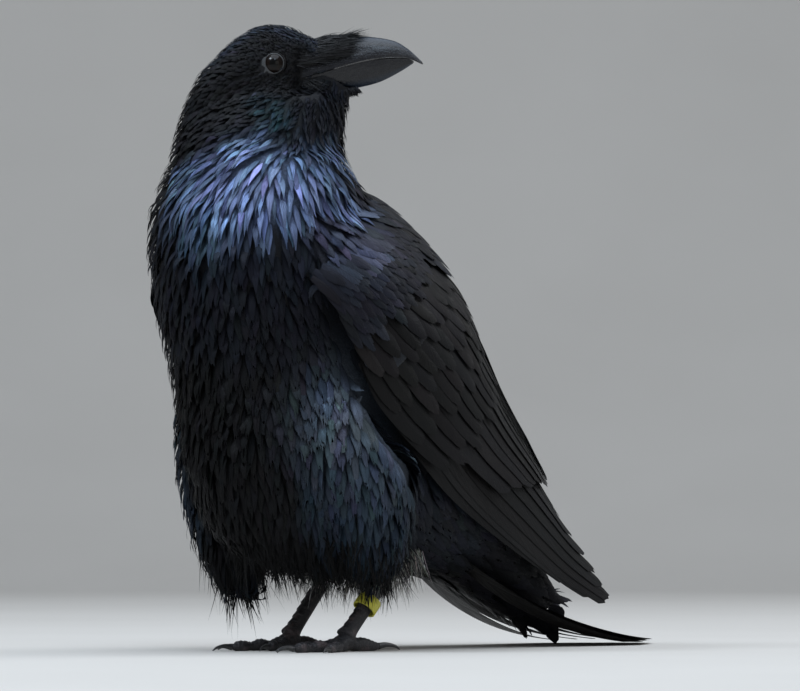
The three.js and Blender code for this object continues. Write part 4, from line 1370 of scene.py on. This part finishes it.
def clumped(places, reach, rng):
    """The way from each place to the middle of the clump that its feather's tip leans to."""
    tree = tree_of(places[spaced(places, reach, rng)])
    return np.array([tree.find(p)[0] for p in places]) - places


def build_body_plumage(settings):
    """The feathers of head, neck, trunk and thighs, in one piece for each tract."""
    rng = np.random.default_rng(7)
    surface = skin_surface()
    places, normals = surface.scatter(200000, rng)
    spacing = plumage.sizes(places)[:, 2] * settings.spacing
    kept = (rng.random(len(places)) < 3.6 / spacing**2) & may_grow(places)
    places, normals, spacing = places[kept], normals[kept], spacing[kept]
    picked = spaced(places, spacing, rng)
    places, normals = places[picked], normals[picked]
    shown = ~under_flight_feathers(places, normals)
    places, normals = places[shown], normals[shown]
    length, width, spacing, depth, point, fray = plumage.sizes(places).T
    length = length * settings.length * np.exp(rng.normal(0, 0.09, len(places)))
    width = width * np.exp(rng.normal(0, 0.08, len(places)))
    crisp = np.clip((point - 0.25) / 0.5, 0, 1)[:, None]
    lies = plumage.lie(places) + rng.normal(0, 1, (len(places), 3)) * lerp(0.04, 0.08, crisp)
    lies = unit(lies + clumped(places, 2.8 * spacing, rng) / length[:, None] * lerp(0.15, 1.15, crisp))
    depth = depth * np.exp(rng.normal(0, 1, len(places)) * lerp(0.05, 0.22, crisp[:, 0])) + 0.2
    low = np.clip((85 - places[:, 2]) / 30, 0, 1)
    hang = np.clip(np.clip(fray - 0.35, 0, 1) * rng.random(len(places)) ** 0.7 * lerp(0.35, 1, low), 0, 1)
    hang = np.maximum(hang, smoothstep(places[:, 1], 120, 155))
    # Tints with the painted highlights of the gloss patches, and some chance in them.
    tint = tint_at(places, rng, None, np.clip(0.7 - 0.9 * fray, 0.07, 0.45)[:, None])
    tract = plumage.tract(places)
    material = vane_finish("contour feathers", 26.0, 0.55, 0.5, 0.44, 0.5, 0.30, 0.10, 0.6)
    for name, members in TRACTS.items():
        vanes = Vanes(rng)
        of_tract = np.isin(tract, members)
        for low, high, rows, columns in ((0, 3.3, 4, 4), (3.3, 5.2, 6, 4), (5.2, 99, 6, 8)):
            chosen = np.flatnonzero(of_tract & (width >= low) & (width < high))
            if len(chosen):
                spine, up = lying_spines(
                    surface, places[chosen], lies[chosen], length[chosen], depth[chosen], hang[chosen], rows
                )
                spine[..., 2] = np.maximum(spine[..., 2], 0.6)
                own = (width[chosen] / 2, tint[chosen], point[chosen], fray[chosen])
                vanes.add(spine, up, *own, 0.11, columns, ridge=0.05)
        if vanes.blocks:
            vanes.mesh(name, surface, material, "plumage")

# ---------------------------------------------------------------- wings and tail

wing_rails = [curve_through(points) for points in (WING_LOWER, WING_MIDDLE, WING_UPPER)]


def wing_surface(share, height):
    """The left wing's outer surface: share from bend to tip, height from its lower to its upper edge."""
    share, height = np.broadcast_arrays(np.asarray(share, float), np.asarray(height, float))
    weights = ((1 - height) * (1 - 2 * height), 4 * height * (1 - height), height * (2 * height - 1))
    return sum(weight[..., None] * rail(share) for weight, rail in zip(weights, wing_rails))


def under_wing(share, height, depth):
    """(points, outward directions) at a depth below that surface."""
    step = 0.02
    along = wing_surface(share + step, height) - wing_surface(share - step, height)
    across = wing_surface(share, height + step) - wing_surface(share, height - step)
    outward = unit(np.cross(across, along))
    outward = np.where(outward[..., :1] < 0, -outward, outward)
    return wing_surface(share, height) - outward * np.asarray(depth)[..., None], outward


def covert_thickness(share):
    front = lerp(3, 10, smoothstep(share, 0, 0.08))
    return lerp(front, 1.6, np.clip((share - 0.1) / 0.4, 0, 1))


def secondary_depth(share):
    return (covert_thickness(share) + 1) * (1 - smoothstep(share, 0.57, 0.72))


def primary_depth(share):
    return secondary_depth(share) + 3.6 * (1 - smoothstep(share, 0.79, 0.88))


def lie_by_shares(vanes, feathers, rows, columns, rng, sign, depth_of, tract=None, gloss=1.0, **shape):
    """Feathers on the wing, from each one's root share and height, tip share and height, half-width, tilt."""
    table = np.array(feathers, float)
    table[:, [0, 2]] += rng.normal(0, 0.004, (len(table), 2))
    table[:, [1, 3]] += rng.normal(0, 0.006, (len(table), 2))
    root, root_height, tip, tip_height, half_width, tilt = (column[:, None] for column in table.T)
    v = np.linspace(0, 1, rows + 1)[None]
    share = lerp(root, tip, v)
    height = lerp(root_height, tip_height, v**0.9)
    depth = depth_of(share, v) + rng.normal(0, 0.12, (len(table), 1))
    spine, outward = under_wing(share, height, depth)
    side = unit(np.cross(unit(np.gradient(spine, axis=1)), outward))
    up = unit(outward - np.tan(tilt)[..., None] * side)
    spine[..., 2] = np.maximum(spine[..., 2], 1.0)
    # Without a tract, the tint takes in the painted highlights of the gloss patches.
    tint = tint_at(spine[:, rows // 2] * np.array([sign, 1, 1]), rng, tract)
    tint[:, :3] *= gloss
    vanes.add(spine, up, half_width[:, 0], tint, columns=columns, mirror=sign < 0, **shape)


def row_of(count, root, root_height, tip, tip_height, half_width, tilt):
    """A row of feathers from the wing's lower to its upper edge; each pair gives both ends' values."""
    row = []
    for i in range(count):
        pairs = (root, root_height, tip, tip_height, half_width, (tilt, tilt))
        feather = [lerp(*pair, i / (count - 1)) for pair in pairs]
        feather[2] += 0.014 * math.sin(2.4 * i)
        row.append(feather)
    return row


def build_wings():
    """Rows of coverts and the flight feathers, feather by feather, on both sides."""
    surface = skin_surface()
    coverts = vane_finish("covert feathers", 30.0, 0.5, 0.45, 0.42, 0.5, 0.36, 0.15)
    flight = vane_finish("flight feathers", 60.0, 0.30, 0.35, 0.42, 0.5, 0.40, 0.18)
    for side, sign in SIDES.items():
        rng = np.random.default_rng(20 + sign)
        vanes = Vanes(rng)
        small = []
        for start in (0.075, 0.10, 0.125, 0.15, 0.175):
            small += row_of(
                24, (start, start), (0.02, 0.86), (start + 0.08, start + 0.09), (0.03, 0.85), (4.4, 5.2), 0.1
            )
        lie_by_shares(
            vanes, small, 7, 6, rng, sign, lambda share, v: 3.0 * (1 - v) ** 1.1 - 0.2,
            gloss=1.0, point=0.2, fray=0.3, cup=0.14, ridge=0.08,
        )
        for count, root, tip, half_width, tilt, lift in (
            (20, (0.20, 0.21), (0.32, 0.34), (6.0, 7.0), 0.10, 0.1),
            (20, (0.24, 0.26), (0.38, 0.41), (6.5, 7.5), 0.11, 0.3),
            (17, (0.27, 0.30), (0.45, 0.48), (7.0, 8.5), 0.12, 0.5),
            (16, (0.30, 0.33), (0.53, 0.57), (7.0, 9.0), 0.15, 0.7),
        ):
            row = row_of(count, root, (0.03, 0.98), tip, (0.05, 0.96), half_width, tilt)
            lie_by_shares(
                vanes, row, 14, 8, rng, sign, lambda share, v: 5.5 * (1 - v) ** 1.2 + lift,
                tract="wing", point=0.08, fray=0.12, cup=0.12, ridge=0.15,
            )
        scapulars = []
        for start, count, half_width in (
            (0.01, 8, 5.2), (0.055, 8, 5.6), (0.10, 8, 6.2), (0.15, 8, 6.8), (0.20, 7, 7.4),
        ):
            scapulars += row_of(
                count, (start, start - 0.01), (0.76, 1.03), (start + 0.12, start + 0.14), (0.74, 0.98),
                (half_width, half_width + 1), 0.1,
            )
        lie_by_shares(
            vanes, scapulars, 10, 6, rng, sign, lambda share, v: 4.2 * (1 - v) ** 1.4 - 1.0,
            point=0.12, fray=0.25, cup=0.14, ridge=0.1,
        )
        vanes.mesh(f"coverts_{side}", surface, coverts, "flight_feathers")
        vanes = Vanes(rng)
        tips = [
            (0.80, 0.02), (0.86, 0.03), (0.885, 0.06), (0.89, 0.12), (0.875, 0.22),
            (0.86, 0.32), (0.84, 0.42), (0.82, 0.52), (0.80, 0.62), (0.785, 0.70),
        ]
        primaries = [
            [lerp(0.42, 0.3, i / 9), lerp(0.03, 0.5, i / 9), tip, height, lerp(7.2, 8.4, i / 9), 0.10]
            for i, (tip, height) in enumerate(tips)
        ]
        lie_by_shares(
            vanes, primaries, 40, SHAFTED, rng, sign, lambda share, v: primary_depth(share) + 0.3,
            tract="wing", gloss=0.9, point=0.35, fray=0.03, cup=0.06, ridge=0.5, offset=0.35,
        )
        vanes.mesh(f"primary_vanes_{side}", surface, flight, "flight_feathers", [f"primaries_{side}"])
        vanes = Vanes(rng)
        secondaries = [
            [0.28, lerp(0.16, 0.74, i / 8), lerp(0.64, 0.765, math.sin(i / 8 * math.pi / 2)),
             lerp(0.20, 0.82, i / 8), 8.6, 0.12]
            for i in range(9)
        ]
        tertials = [
            [0.27, lerp(0.78, 0.96, i / 3), (0.765, 0.73, 0.68, 0.62)[i], lerp(0.84, 0.96, i / 3), 11.5, 0.12]
            for i in range(4)
        ]
        lie_by_shares(
            vanes, secondaries, 36, SHAFTED, rng, sign, lambda share, v: secondary_depth(share) + 0.4,
            tract="wing", point=0.05, fray=0.05, cup=0.08, ridge=0.4, offset=0.3,
        )
        lie_by_shares(
            vanes, tertials, 36, SHAFTED, rng, sign,
            lambda share, v: np.maximum(secondary_depth(share) - 1.2, -0.6), tract="wing", point=0.0,
            fray=0.05, cup=0.1, ridge=0.35, offset=0.15,
        )
        vanes.mesh(f"secondary_vanes_{side}", surface, flight, "flight_feathers", [f"secondaries_{side}"])


def on_tail(distance, across, lift):
    """(points, upward directions) on the tail, at distances from its root, at shares across and lifted."""
    table = np.linspace(0, TAIL["length"], 200)
    pitches = lerp(TAIL["root_pitch"], TAIL["end_pitch"], table / TAIL["length"])
    step = table[1]
    y = TAIL["root"][0] + np.concatenate([[0], np.cumsum(np.cos(pitches[:-1]) * step)])
    z = TAIL["root"][1] - np.concatenate([[0], np.cumsum(np.sin(pitches[:-1]) * step)])
    share = distance / TAIL["length"]
    pitch = np.interp(distance, table, pitches)
    widening = np.sin(np.clip(share, 0, 1) * math.pi / 2)
    half_width = lerp(TAIL["root_half_width"], TAIL["end_half_width"], widening)
    rise = lift - TAIL["sag"] * across**2 * np.sin(share * math.pi)
    up = np.stack([0 * rise, np.sin(pitch) + 0 * rise, np.cos(pitch) + 0 * rise], -1)
    place = np.stack([across * half_width, np.interp(distance, table, y), np.interp(distance, table, z)], -1)
    return place + up * rise[..., None], up


def build_tail():
    """Twelve tail feathers, the middle pair on top."""
    surface = skin_surface()
    rng = np.random.default_rng(31)
    material = vane_finish("tail feathers", 60.0, 0.35, 0.35, 0.42, 0.5, 0.42, 0.18)
    vanes = Vanes(rng)
    rows = 34
    v = np.linspace(0, 1, rows + 1)[None]
    for sign in SIDES.values():
        pair = np.arange(6)[:, None]
        across = (pair + 0.5) / 6.1 + rng.normal(0, 0.008, (6, 1))
        reach = TAIL["length"] * lerp(1, TAIL["outer_share"], across**1.6)
        reach = reach - 2 * (pair > 0) + rng.normal(0, 1, (6, 1))
        lift = TAIL["thickness"] + 0.35 - 0.28 * pair - 0.15 * (sign < 0)
        spine, up = on_tail(reach * v, across * np.ones_like(v), lift * np.ones_like(v))
        side = unit(np.cross(unit(np.gradient(spine, axis=1)), up))
        up = unit(up - 0.07 * side)
        spine[..., 2] = np.maximum(spine[..., 2], 1.2)
        tint = tint_at(spine[:, rows // 2], rng, "wing")
        vanes.add(spine, up, 8.6, tint, 0.02, 0.04, 0.06, SHAFTED, ridge=0.45, offset=-0.12, mirror=sign < 0)
    vanes.mesh("tail_vanes", surface, material, "flight_feathers", ["tail"])

# ---------------------------------------------------------------- bristles


def build_bristles():
    """Nasal bristles that lie forwards over the bill's base, and finer ones at the gape and chin."""
    surface = skin_surface()
    rng = np.random.default_rng(41)
    material = vane_finish("bristles", 30.0, 0.2, 0.25, 0.38, 0.5, 0.6, 0.3)
    vanes = Vanes(rng)
    count, rows = 1700, 7
    v = np.linspace(0, 1, rows + 1)[None]
    root = rng.uniform(17, 46, (count, 1))
    from_culmen = rng.uniform(0, 1, (count, 1)) ** 1.1
    arch = math.pi / 2 - from_culmen * (math.pi / 2 - 0.30)
    arch = np.where(rng.random((count, 1)) < 0.5, arch, math.pi - arch)
    length = rng.uniform(13, 24, (count, 1)) * (1 - 0.3 * from_culmen * smoothstep(root, 34, 46))
    ahead = root + length * v
    turn = arch + rng.normal(0, 0.09, (count, 1)) * v + 0.12 * np.sign(arch - math.pi / 2) * v**2
    rise = rng.uniform(0.6, 3.2, (count, 1)) * (0.35 + 0.65 * (root < 36))
    tuft = (root > 38) & (from_culmen < 0.35) & (rng.random((count, 1)) < 0.3)
    stray = (rng.random((count, 1)) < 0.07) * rng.uniform(0.5, 2.5, (count, 1))
    stray = stray + tuft * rng.uniform(1.5, 6, (count, 1))
    outside = 3.0 * (1 - smoothstep(ahead, 24, 31))
    lift = 0.35 + outside + rise * np.sin(v * 2.5) * (1 - 0.3 * v) + stray * v**2
    spine = on_upper_bill(ahead, turn, lift)
    middle = on_head(ahead, 0 * ahead, bill_edge(ahead) + 3)
    up = unit(spine - middle)
    tint = tint_at(spine[:, 0], rng, "head")
    tint[:, :3] *= 1.6
    vanes.add(spine, up, rng.uniform(0.22, 0.42, count), tint, 1.0, 0.0, cup=0.8, columns=2)
    count = 420
    side = np.where(rng.random((count, 1)) < 0.5, 1.0, -1.0)
    low = rng.random((count, 1))
    start = on_head(
        rng.uniform(22, 34, count), side[:, 0] * (bill_half_width(28) + 0.6 - 1.5 * low[:, 0]),
        bill_edge(28) - 1 - low[:, 0] * 11,
    )
    heading = unit(
        HEAD_AHEAD * (0.9 - 0.5 * low) + HEAD_OUT * side * 0.18 + UP * (-0.30 - 0.7 * low)
        + rng.normal(0, 0.12, (count, 3))
    )
    reach = rng.uniform(7, 14, (count, 1))
    spine = start[:, None] + heading[:, None] * (reach * v)[..., None] - UP * (2.0 * v**2)[..., None]
    up = np.broadcast_to(unit(HEAD_OUT * side)[:, None], spine.shape)
    tint = tint_at(start, rng, "head")
    vanes.add(spine, up, rng.uniform(0.16, 0.28, count), tint, 1.0, 0.0, cup=0.8, columns=2)
    count = 760
    ahead = rng.uniform(34, 59, (count, 1))
    front = (ahead - 34) / 25
    out = rng.uniform(-1, 1, (count, 1)) * lerp(9, 4, front)
    start = on_head(ahead[:, 0], out[:, 0], keel(ahead[:, 0]) - 0.2 + 0.05 * out[:, 0] ** 2)
    forward = lerp(-0.5, -0.1, front) + rng.normal(0, 0.22, (count, 1))
    heading = unit(HEAD_AHEAD * forward + HEAD_OUT * out * 0.03 - UP + rng.normal(0, 0.12, (count, 3)))
    reach = rng.uniform(5, 12, (count, 1)) * lerp(1, 0.35, front)
    spine = start[:, None] + heading[:, None] * (reach * v)[..., None] + HEAD_AHEAD * (1.6 * v**2)[..., None]
    up = np.broadcast_to(unit(HEAD_AHEAD * 0.6 + HEAD_OUT * np.sign(out))[:, None], spine.shape)
    half_width = rng.uniform(0.3, 0.75, count)
    vanes.add(spine, up, half_width, tint_at(start, rng, "throat"), 1.0, 0.0, cup=0.5, columns=2)
    vanes.mesh("bristles", surface, material, "plumage")

def build_fringe():
    """Loose strands that hang from the hem of belly and thighs, with pale down at the legs."""
    surface = skin_surface()
    rng = np.random.default_rng(51)
    material = vane_finish("loose strands", 30.0, 0.2, 0.2, 0.5, 0.5, 0.6, 0.15)
    vanes = Vanes(rng)
    places, normals = surface.scatter(90000, rng)
    hem = (places[:, 2] < 74) & (places[:, 1] < 30) & ~on_bare_leg(places)
    chosen = np.flatnonzero(hem)
    chosen = rng.permutation(chosen)[:1500]
    places, normals = places[chosen], normals[chosen]
    count, rows = len(places), 5
    v = np.linspace(0, 1, rows + 1)[None]
    lies = plumage.lie(places) + normals * rng.uniform(0, 0.25, (count, 1)) + rng.normal(0, 0.12, (count, 3))
    reach = rng.uniform(9, 22, (count, 1)) * rng.uniform(0.6, 1.3, (count, 1))
    seen_across = places @ np.array([0.682, 0.731, 0.0])
    spike = np.min([np.abs(seen_across - middle) for middle in (-55.6, -45.3, -37.4)], axis=0) < 2.4
    reach[spike] *= 1.3
    lean = np.where(spike, 1.7, 0.9)[:, None]
    lies = unit(lies + lean * clumped(places, np.full(count, 9.0), rng) / reach)
    lies = unit(lies + np.clip(0.05 - dot(lies, normals), 0, None) * normals)
    start = places + normals * rng.uniform(0, 3, (count, 1))
    sway = rng.normal(0, 1.6, (count, 1, 3))
    spine = start[:, None] + lies[:, None] * (reach * v)[..., None] + sway * (v**2)[..., None]
    spine = spine - UP * (2.5 * v**2)[..., None]
    spine[..., 2] = np.maximum(spine[..., 2], 4.0)
    up = np.broadcast_to(normals[:, None], spine.shape)
    tint = tint_at(places, rng, "belly")
    vanes.add(spine, up, rng.uniform(0.25, 0.6, count), tint, 1.0, 0.0, cup=0.7, columns=2)
    places, normals = surface.scatter(90000, rng)
    x, y = places[:, 0], places[:, 1]
    away = np.min([np.hypot(x - sign * ANKLE[0], y - ANKLE[1] + 4) for sign in (1, -1)], axis=0)
    down = (away < 21) & (places[:, 2] < 66) & (normals[:, 2] < -0.1) & ~on_bare_leg(places)
    chosen = rng.permutation(np.flatnonzero(down))[:900]
    places, normals = places[chosen], normals[chosen]
    count = len(places)
    lies = unit(np.array([0, -0.25, -1]) + normals * 0.3 + rng.normal(0, 0.28, (count, 3)))
    spine = places[:, None] + lies[:, None] * (rng.uniform(14, 31, (count, 1)) * v)[..., None]
    spine = spine + rng.normal(0, 1.8, (count, 1, 3)) * (v**2)[..., None]
    spine[..., 2] = np.maximum(spine[..., 2], 4.0)
    up = np.broadcast_to(normals[:, None], spine.shape)
    tint = tint_at(places, rng, "fluff", 0.5)
    vanes.add(spine, up, rng.uniform(0.22, 0.42, count), tint, 1.0, 0.0, cup=0.7, columns=2)
    vanes.mesh("fringe", surface, material, "plumage")

# ---------------------------------------------------------------- stage


# Each light's name, place in metres, size, power in watts and colour; all face the middle of the bird.
LIGHTS = [
    ("sky", (0.3, -0.4, 2.6), (2.4, 2.4), 62, (0.80, 0.89, 1.0)),
    ("key", (-0.36, -1.85, 2.2), (0.65, 0.65), 30, (0.78, 0.88, 1.0)),
    ("catch light", (1.5, -1.4, 2.45), (0.45, 0.45), 9, (0.62, 0.80, 1.0)),
    ("fill", (2.6, -1.0, 0.9), (1.6, 1.6), 6, (1.0, 0.96, 0.9)),
    ("rim", (0.9, 2.0, 1.8), (1.2, 1.6), 22, (0.92, 0.95, 1.0)),
]
LIT_POINT = (0, 0, 0.2)
CAMERA = {"place": (2.22496, -2.09269, 0.07995), "azimuth": 47, "pitch": 2, "lens": 222.75, "sensor": 36}


def area_light(name, place, size, power, colour):
    data = bpy.data.lights.new(name, "AREA")
    data.shape = "RECTANGLE"
    data.size, data.size_y = size
    data.energy = power
    data.color = colour
    lamp = bpy.data.objects.new(name, data)
    bpy.context.scene.collection.objects.link(lamp)
    lamp.location = place
    lamp.rotation_euler = (Vector(LIT_POINT) - Vector(place)).to_track_quat("-Z", "Y").to_euler()
    return lamp


def build_stage():
    """A pale floor that sweeps up into a backdrop, soft lights and the camera."""
    azimuth = math.radians(CAMERA["azimuth"])
    back = Vector((-math.sin(azimuth), math.cos(azimuth), 0))
    across = Vector((math.cos(azimuth), math.sin(azimuth), 0))
    profile = [(-7, 0), (2.4, 0)]
    profile += [(2.4 + 1.2 * math.sin(a), 1.2 - 1.2 * math.cos(a)) for a in np.linspace(0.1, math.pi / 2, 14)]
    profile.append((3.6, 6))
    corners = [back * y + across * x + Vector((0, 0, z)) for x in (-8, 8) for y, z in profile]
    count = len(profile)
    mesh = bpy.data.meshes.new("sweep")
    mesh.from_pydata(corners, [], [[i, i + 1, count + i + 1, count + i] for i in range(count - 1)])
    sweep = bpy.data.objects.new("sweep", mesh)
    bpy.context.scene.collection.objects.link(sweep)
    smooth_shading(sweep)
    finish = Finish("pale ground", Roughness=0.85)
    mottle = finish.noise(object_place(finish), 3.0, 3.0)
    colour = finish.mix(mottle, (0.56, 0.53, 0.49), (0.62, 0.59, 0.55))
    sweep.data.materials.append(finish.set(Base_Color=colour))
    for light in LIGHTS:
        area_light(*light)
    world = bpy.data.worlds.new("studio")
    world.use_nodes = True
    world.node_tree.nodes["Background"].inputs["Color"].default_value = (0.74, 0.80, 0.88, 1)
    world.node_tree.nodes["Background"].inputs["Strength"].default_value = 0.3
    bpy.context.scene.world = world
    bpy.context.scene.view_settings.view_transform = "Standard"
    data = bpy.data.cameras.new("camera")
    data.lens = CAMERA["lens"]
    data.sensor_width = CAMERA["sensor"]
    data.clip_end = 50
    camera = bpy.data.objects.new("camera", data)
    bpy.context.scene.collection.objects.link(camera)
    camera.location = CAMERA["place"]
    pitch = math.radians(CAMERA["pitch"])
    looks = back * math.cos(pitch) + Vector((0, 0, math.sin(pitch)))
    camera.rotation_euler = looks.to_track_quat("-Z", "Y").to_euler()
    bpy.context.scene.camera = camera

# ---------------------------------------------------------------- add-on


def colour_property(name, description, default):
    return FloatVectorProperty(
        name=name, description=description, default=default, size=3, min=0, max=1, subtype="COLOR"
    )


class RavenSettings(bpy.types.PropertyGroup):
    """Sizes and colours of the finished bird."""

    length: FloatProperty(name="Length", description="Length of body feathers", default=1.0, min=0.5, max=1.5)
    spacing: FloatProperty(name="Spacing", description="Room between feathers", default=1.0, min=0.6, max=2)
    bill_colour: colour_property("Bill", "Colour of the bill's horn", (0.006, 0.006, 0.008))
    claw_colour: colour_property("Claws", "Colour of the claws", (0.012, 0.012, 0.013))
    leg_colour: colour_property("Legs", "Colour of the bare legs", (0.011, 0.010, 0.012))
    eye_colour: colour_property("Eyes", "Colour of the iris", (0.003, 0.0015, 0.001))
    ring_colour: colour_property("Leg ring", "Colour of the plastic ring", (0.62, 0.58, 0.06))


def settings_of(context):
    return context.scene.raven


class RAVEN_OT_skin(bpy.types.Operator):
    """Makes the skin with its lids, bare shanks and toes"""

    bl_idname = "raven.skin"
    bl_label = "Skin"

    def execute(self, context):
        build_skin(settings_of(context))
        return {"FINISHED"}


class RAVEN_OT_bill(bpy.types.Operator):
    """Makes the two halves of the bill"""

    bl_idname = "raven.bill"
    bl_label = "Bill"

    def execute(self, context):
        build_bill(settings_of(context))
        return {"FINISHED"}


class RAVEN_OT_eyes(bpy.types.Operator):
    """Makes the eyes"""

    bl_idname = "raven.eyes"
    bl_label = "Eyes"

    def execute(self, context):
        build_eyes(settings_of(context))
        return {"FINISHED"}


class RAVEN_OT_claws(bpy.types.Operator):
    """Makes the eight claws"""

    bl_idname = "raven.claws"
    bl_label = "Claws"

    def execute(self, context):
        build_claws(settings_of(context))
        return {"FINISHED"}


class RAVEN_OT_leg_ring(bpy.types.Operator):
    """Makes the ring on the left leg"""

    bl_idname = "raven.leg_ring"
    bl_label = "Leg ring"

    def execute(self, context):
        build_ring(settings_of(context))
        return {"FINISHED"}


class RAVEN_OT_body_plumage(bpy.types.Operator):
    """Grows the feathers of head, neck, trunk and thighs"""

    bl_idname = "raven.body_plumage"
    bl_label = "Body plumage"

    def execute(self, context):
        build_body_plumage(settings_of(context))
        return {"FINISHED"}


class RAVEN_OT_bristles(bpy.types.Operator):
    """Grows the bristles round the bill"""

    bl_idname = "raven.bristles"
    bl_label = "Bristles"

    def execute(self, context):
        build_bristles()
        return {"FINISHED"}


class RAVEN_OT_fringe(bpy.types.Operator):
    """Hangs the loose strands at the hem of belly and thighs"""

    bl_idname = "raven.fringe"
    bl_label = "Fringe"

    def execute(self, context):
        build_fringe()
        return {"FINISHED"}


class RAVEN_OT_wings(bpy.types.Operator):
    """Lays the coverts and flight feathers of both wings"""

    bl_idname = "raven.wings"
    bl_label = "Wings"

    def execute(self, context):
        build_wings()
        return {"FINISHED"}


class RAVEN_OT_tail(bpy.types.Operator):
    """Lays the tail feathers"""

    bl_idname = "raven.tail"
    bl_label = "Tail"

    def execute(self, context):
        build_tail()
        return {"FINISHED"}


class RAVEN_OT_stage(bpy.types.Operator):
    """Sets the floor, the lights and the camera"""

    bl_idname = "raven.stage"
    bl_label = "Stage"

    def execute(self, context):
        build_stage()
        return {"FINISHED"}


OPERATORS = (
    RAVEN_OT_skin, RAVEN_OT_bill, RAVEN_OT_eyes, RAVEN_OT_claws, RAVEN_OT_leg_ring, RAVEN_OT_body_plumage,
    RAVEN_OT_bristles, RAVEN_OT_fringe, RAVEN_OT_wings, RAVEN_OT_tail, RAVEN_OT_stage,
)


class RAVEN_PT_maker(bpy.types.Panel):
    """Lists the bird's colours and the steps that make it"""

    bl_idname = "RAVEN_PT_maker"
    bl_label = "Raven"
    bl_space_type = "VIEW_3D"
    bl_region_type = "UI"
    bl_category = "Raven"

    def draw(self, context):
        for name in RavenSettings.__annotations__:
            self.layout.prop(settings_of(context), name)
        for operator in OPERATORS:
            self.layout.operator(operator.bl_idname)


CLASSES = (RavenSettings, *OPERATORS, RAVEN_PT_maker)


def register():
    for cls in CLASSES:
        bpy.utils.register_class(cls)
    bpy.types.Scene.raven = PointerProperty(type=RavenSettings)


def unregister():
    del bpy.types.Scene.raven
    for cls in reversed(CLASSES):
        bpy.utils.unregister_class(cls)


def main():
    register()
    for operator in OPERATORS:
        group, name = operator.bl_idname.split(".")
        getattr(getattr(bpy.ops, group), name)()


if __name__ == "__main__":
    main()
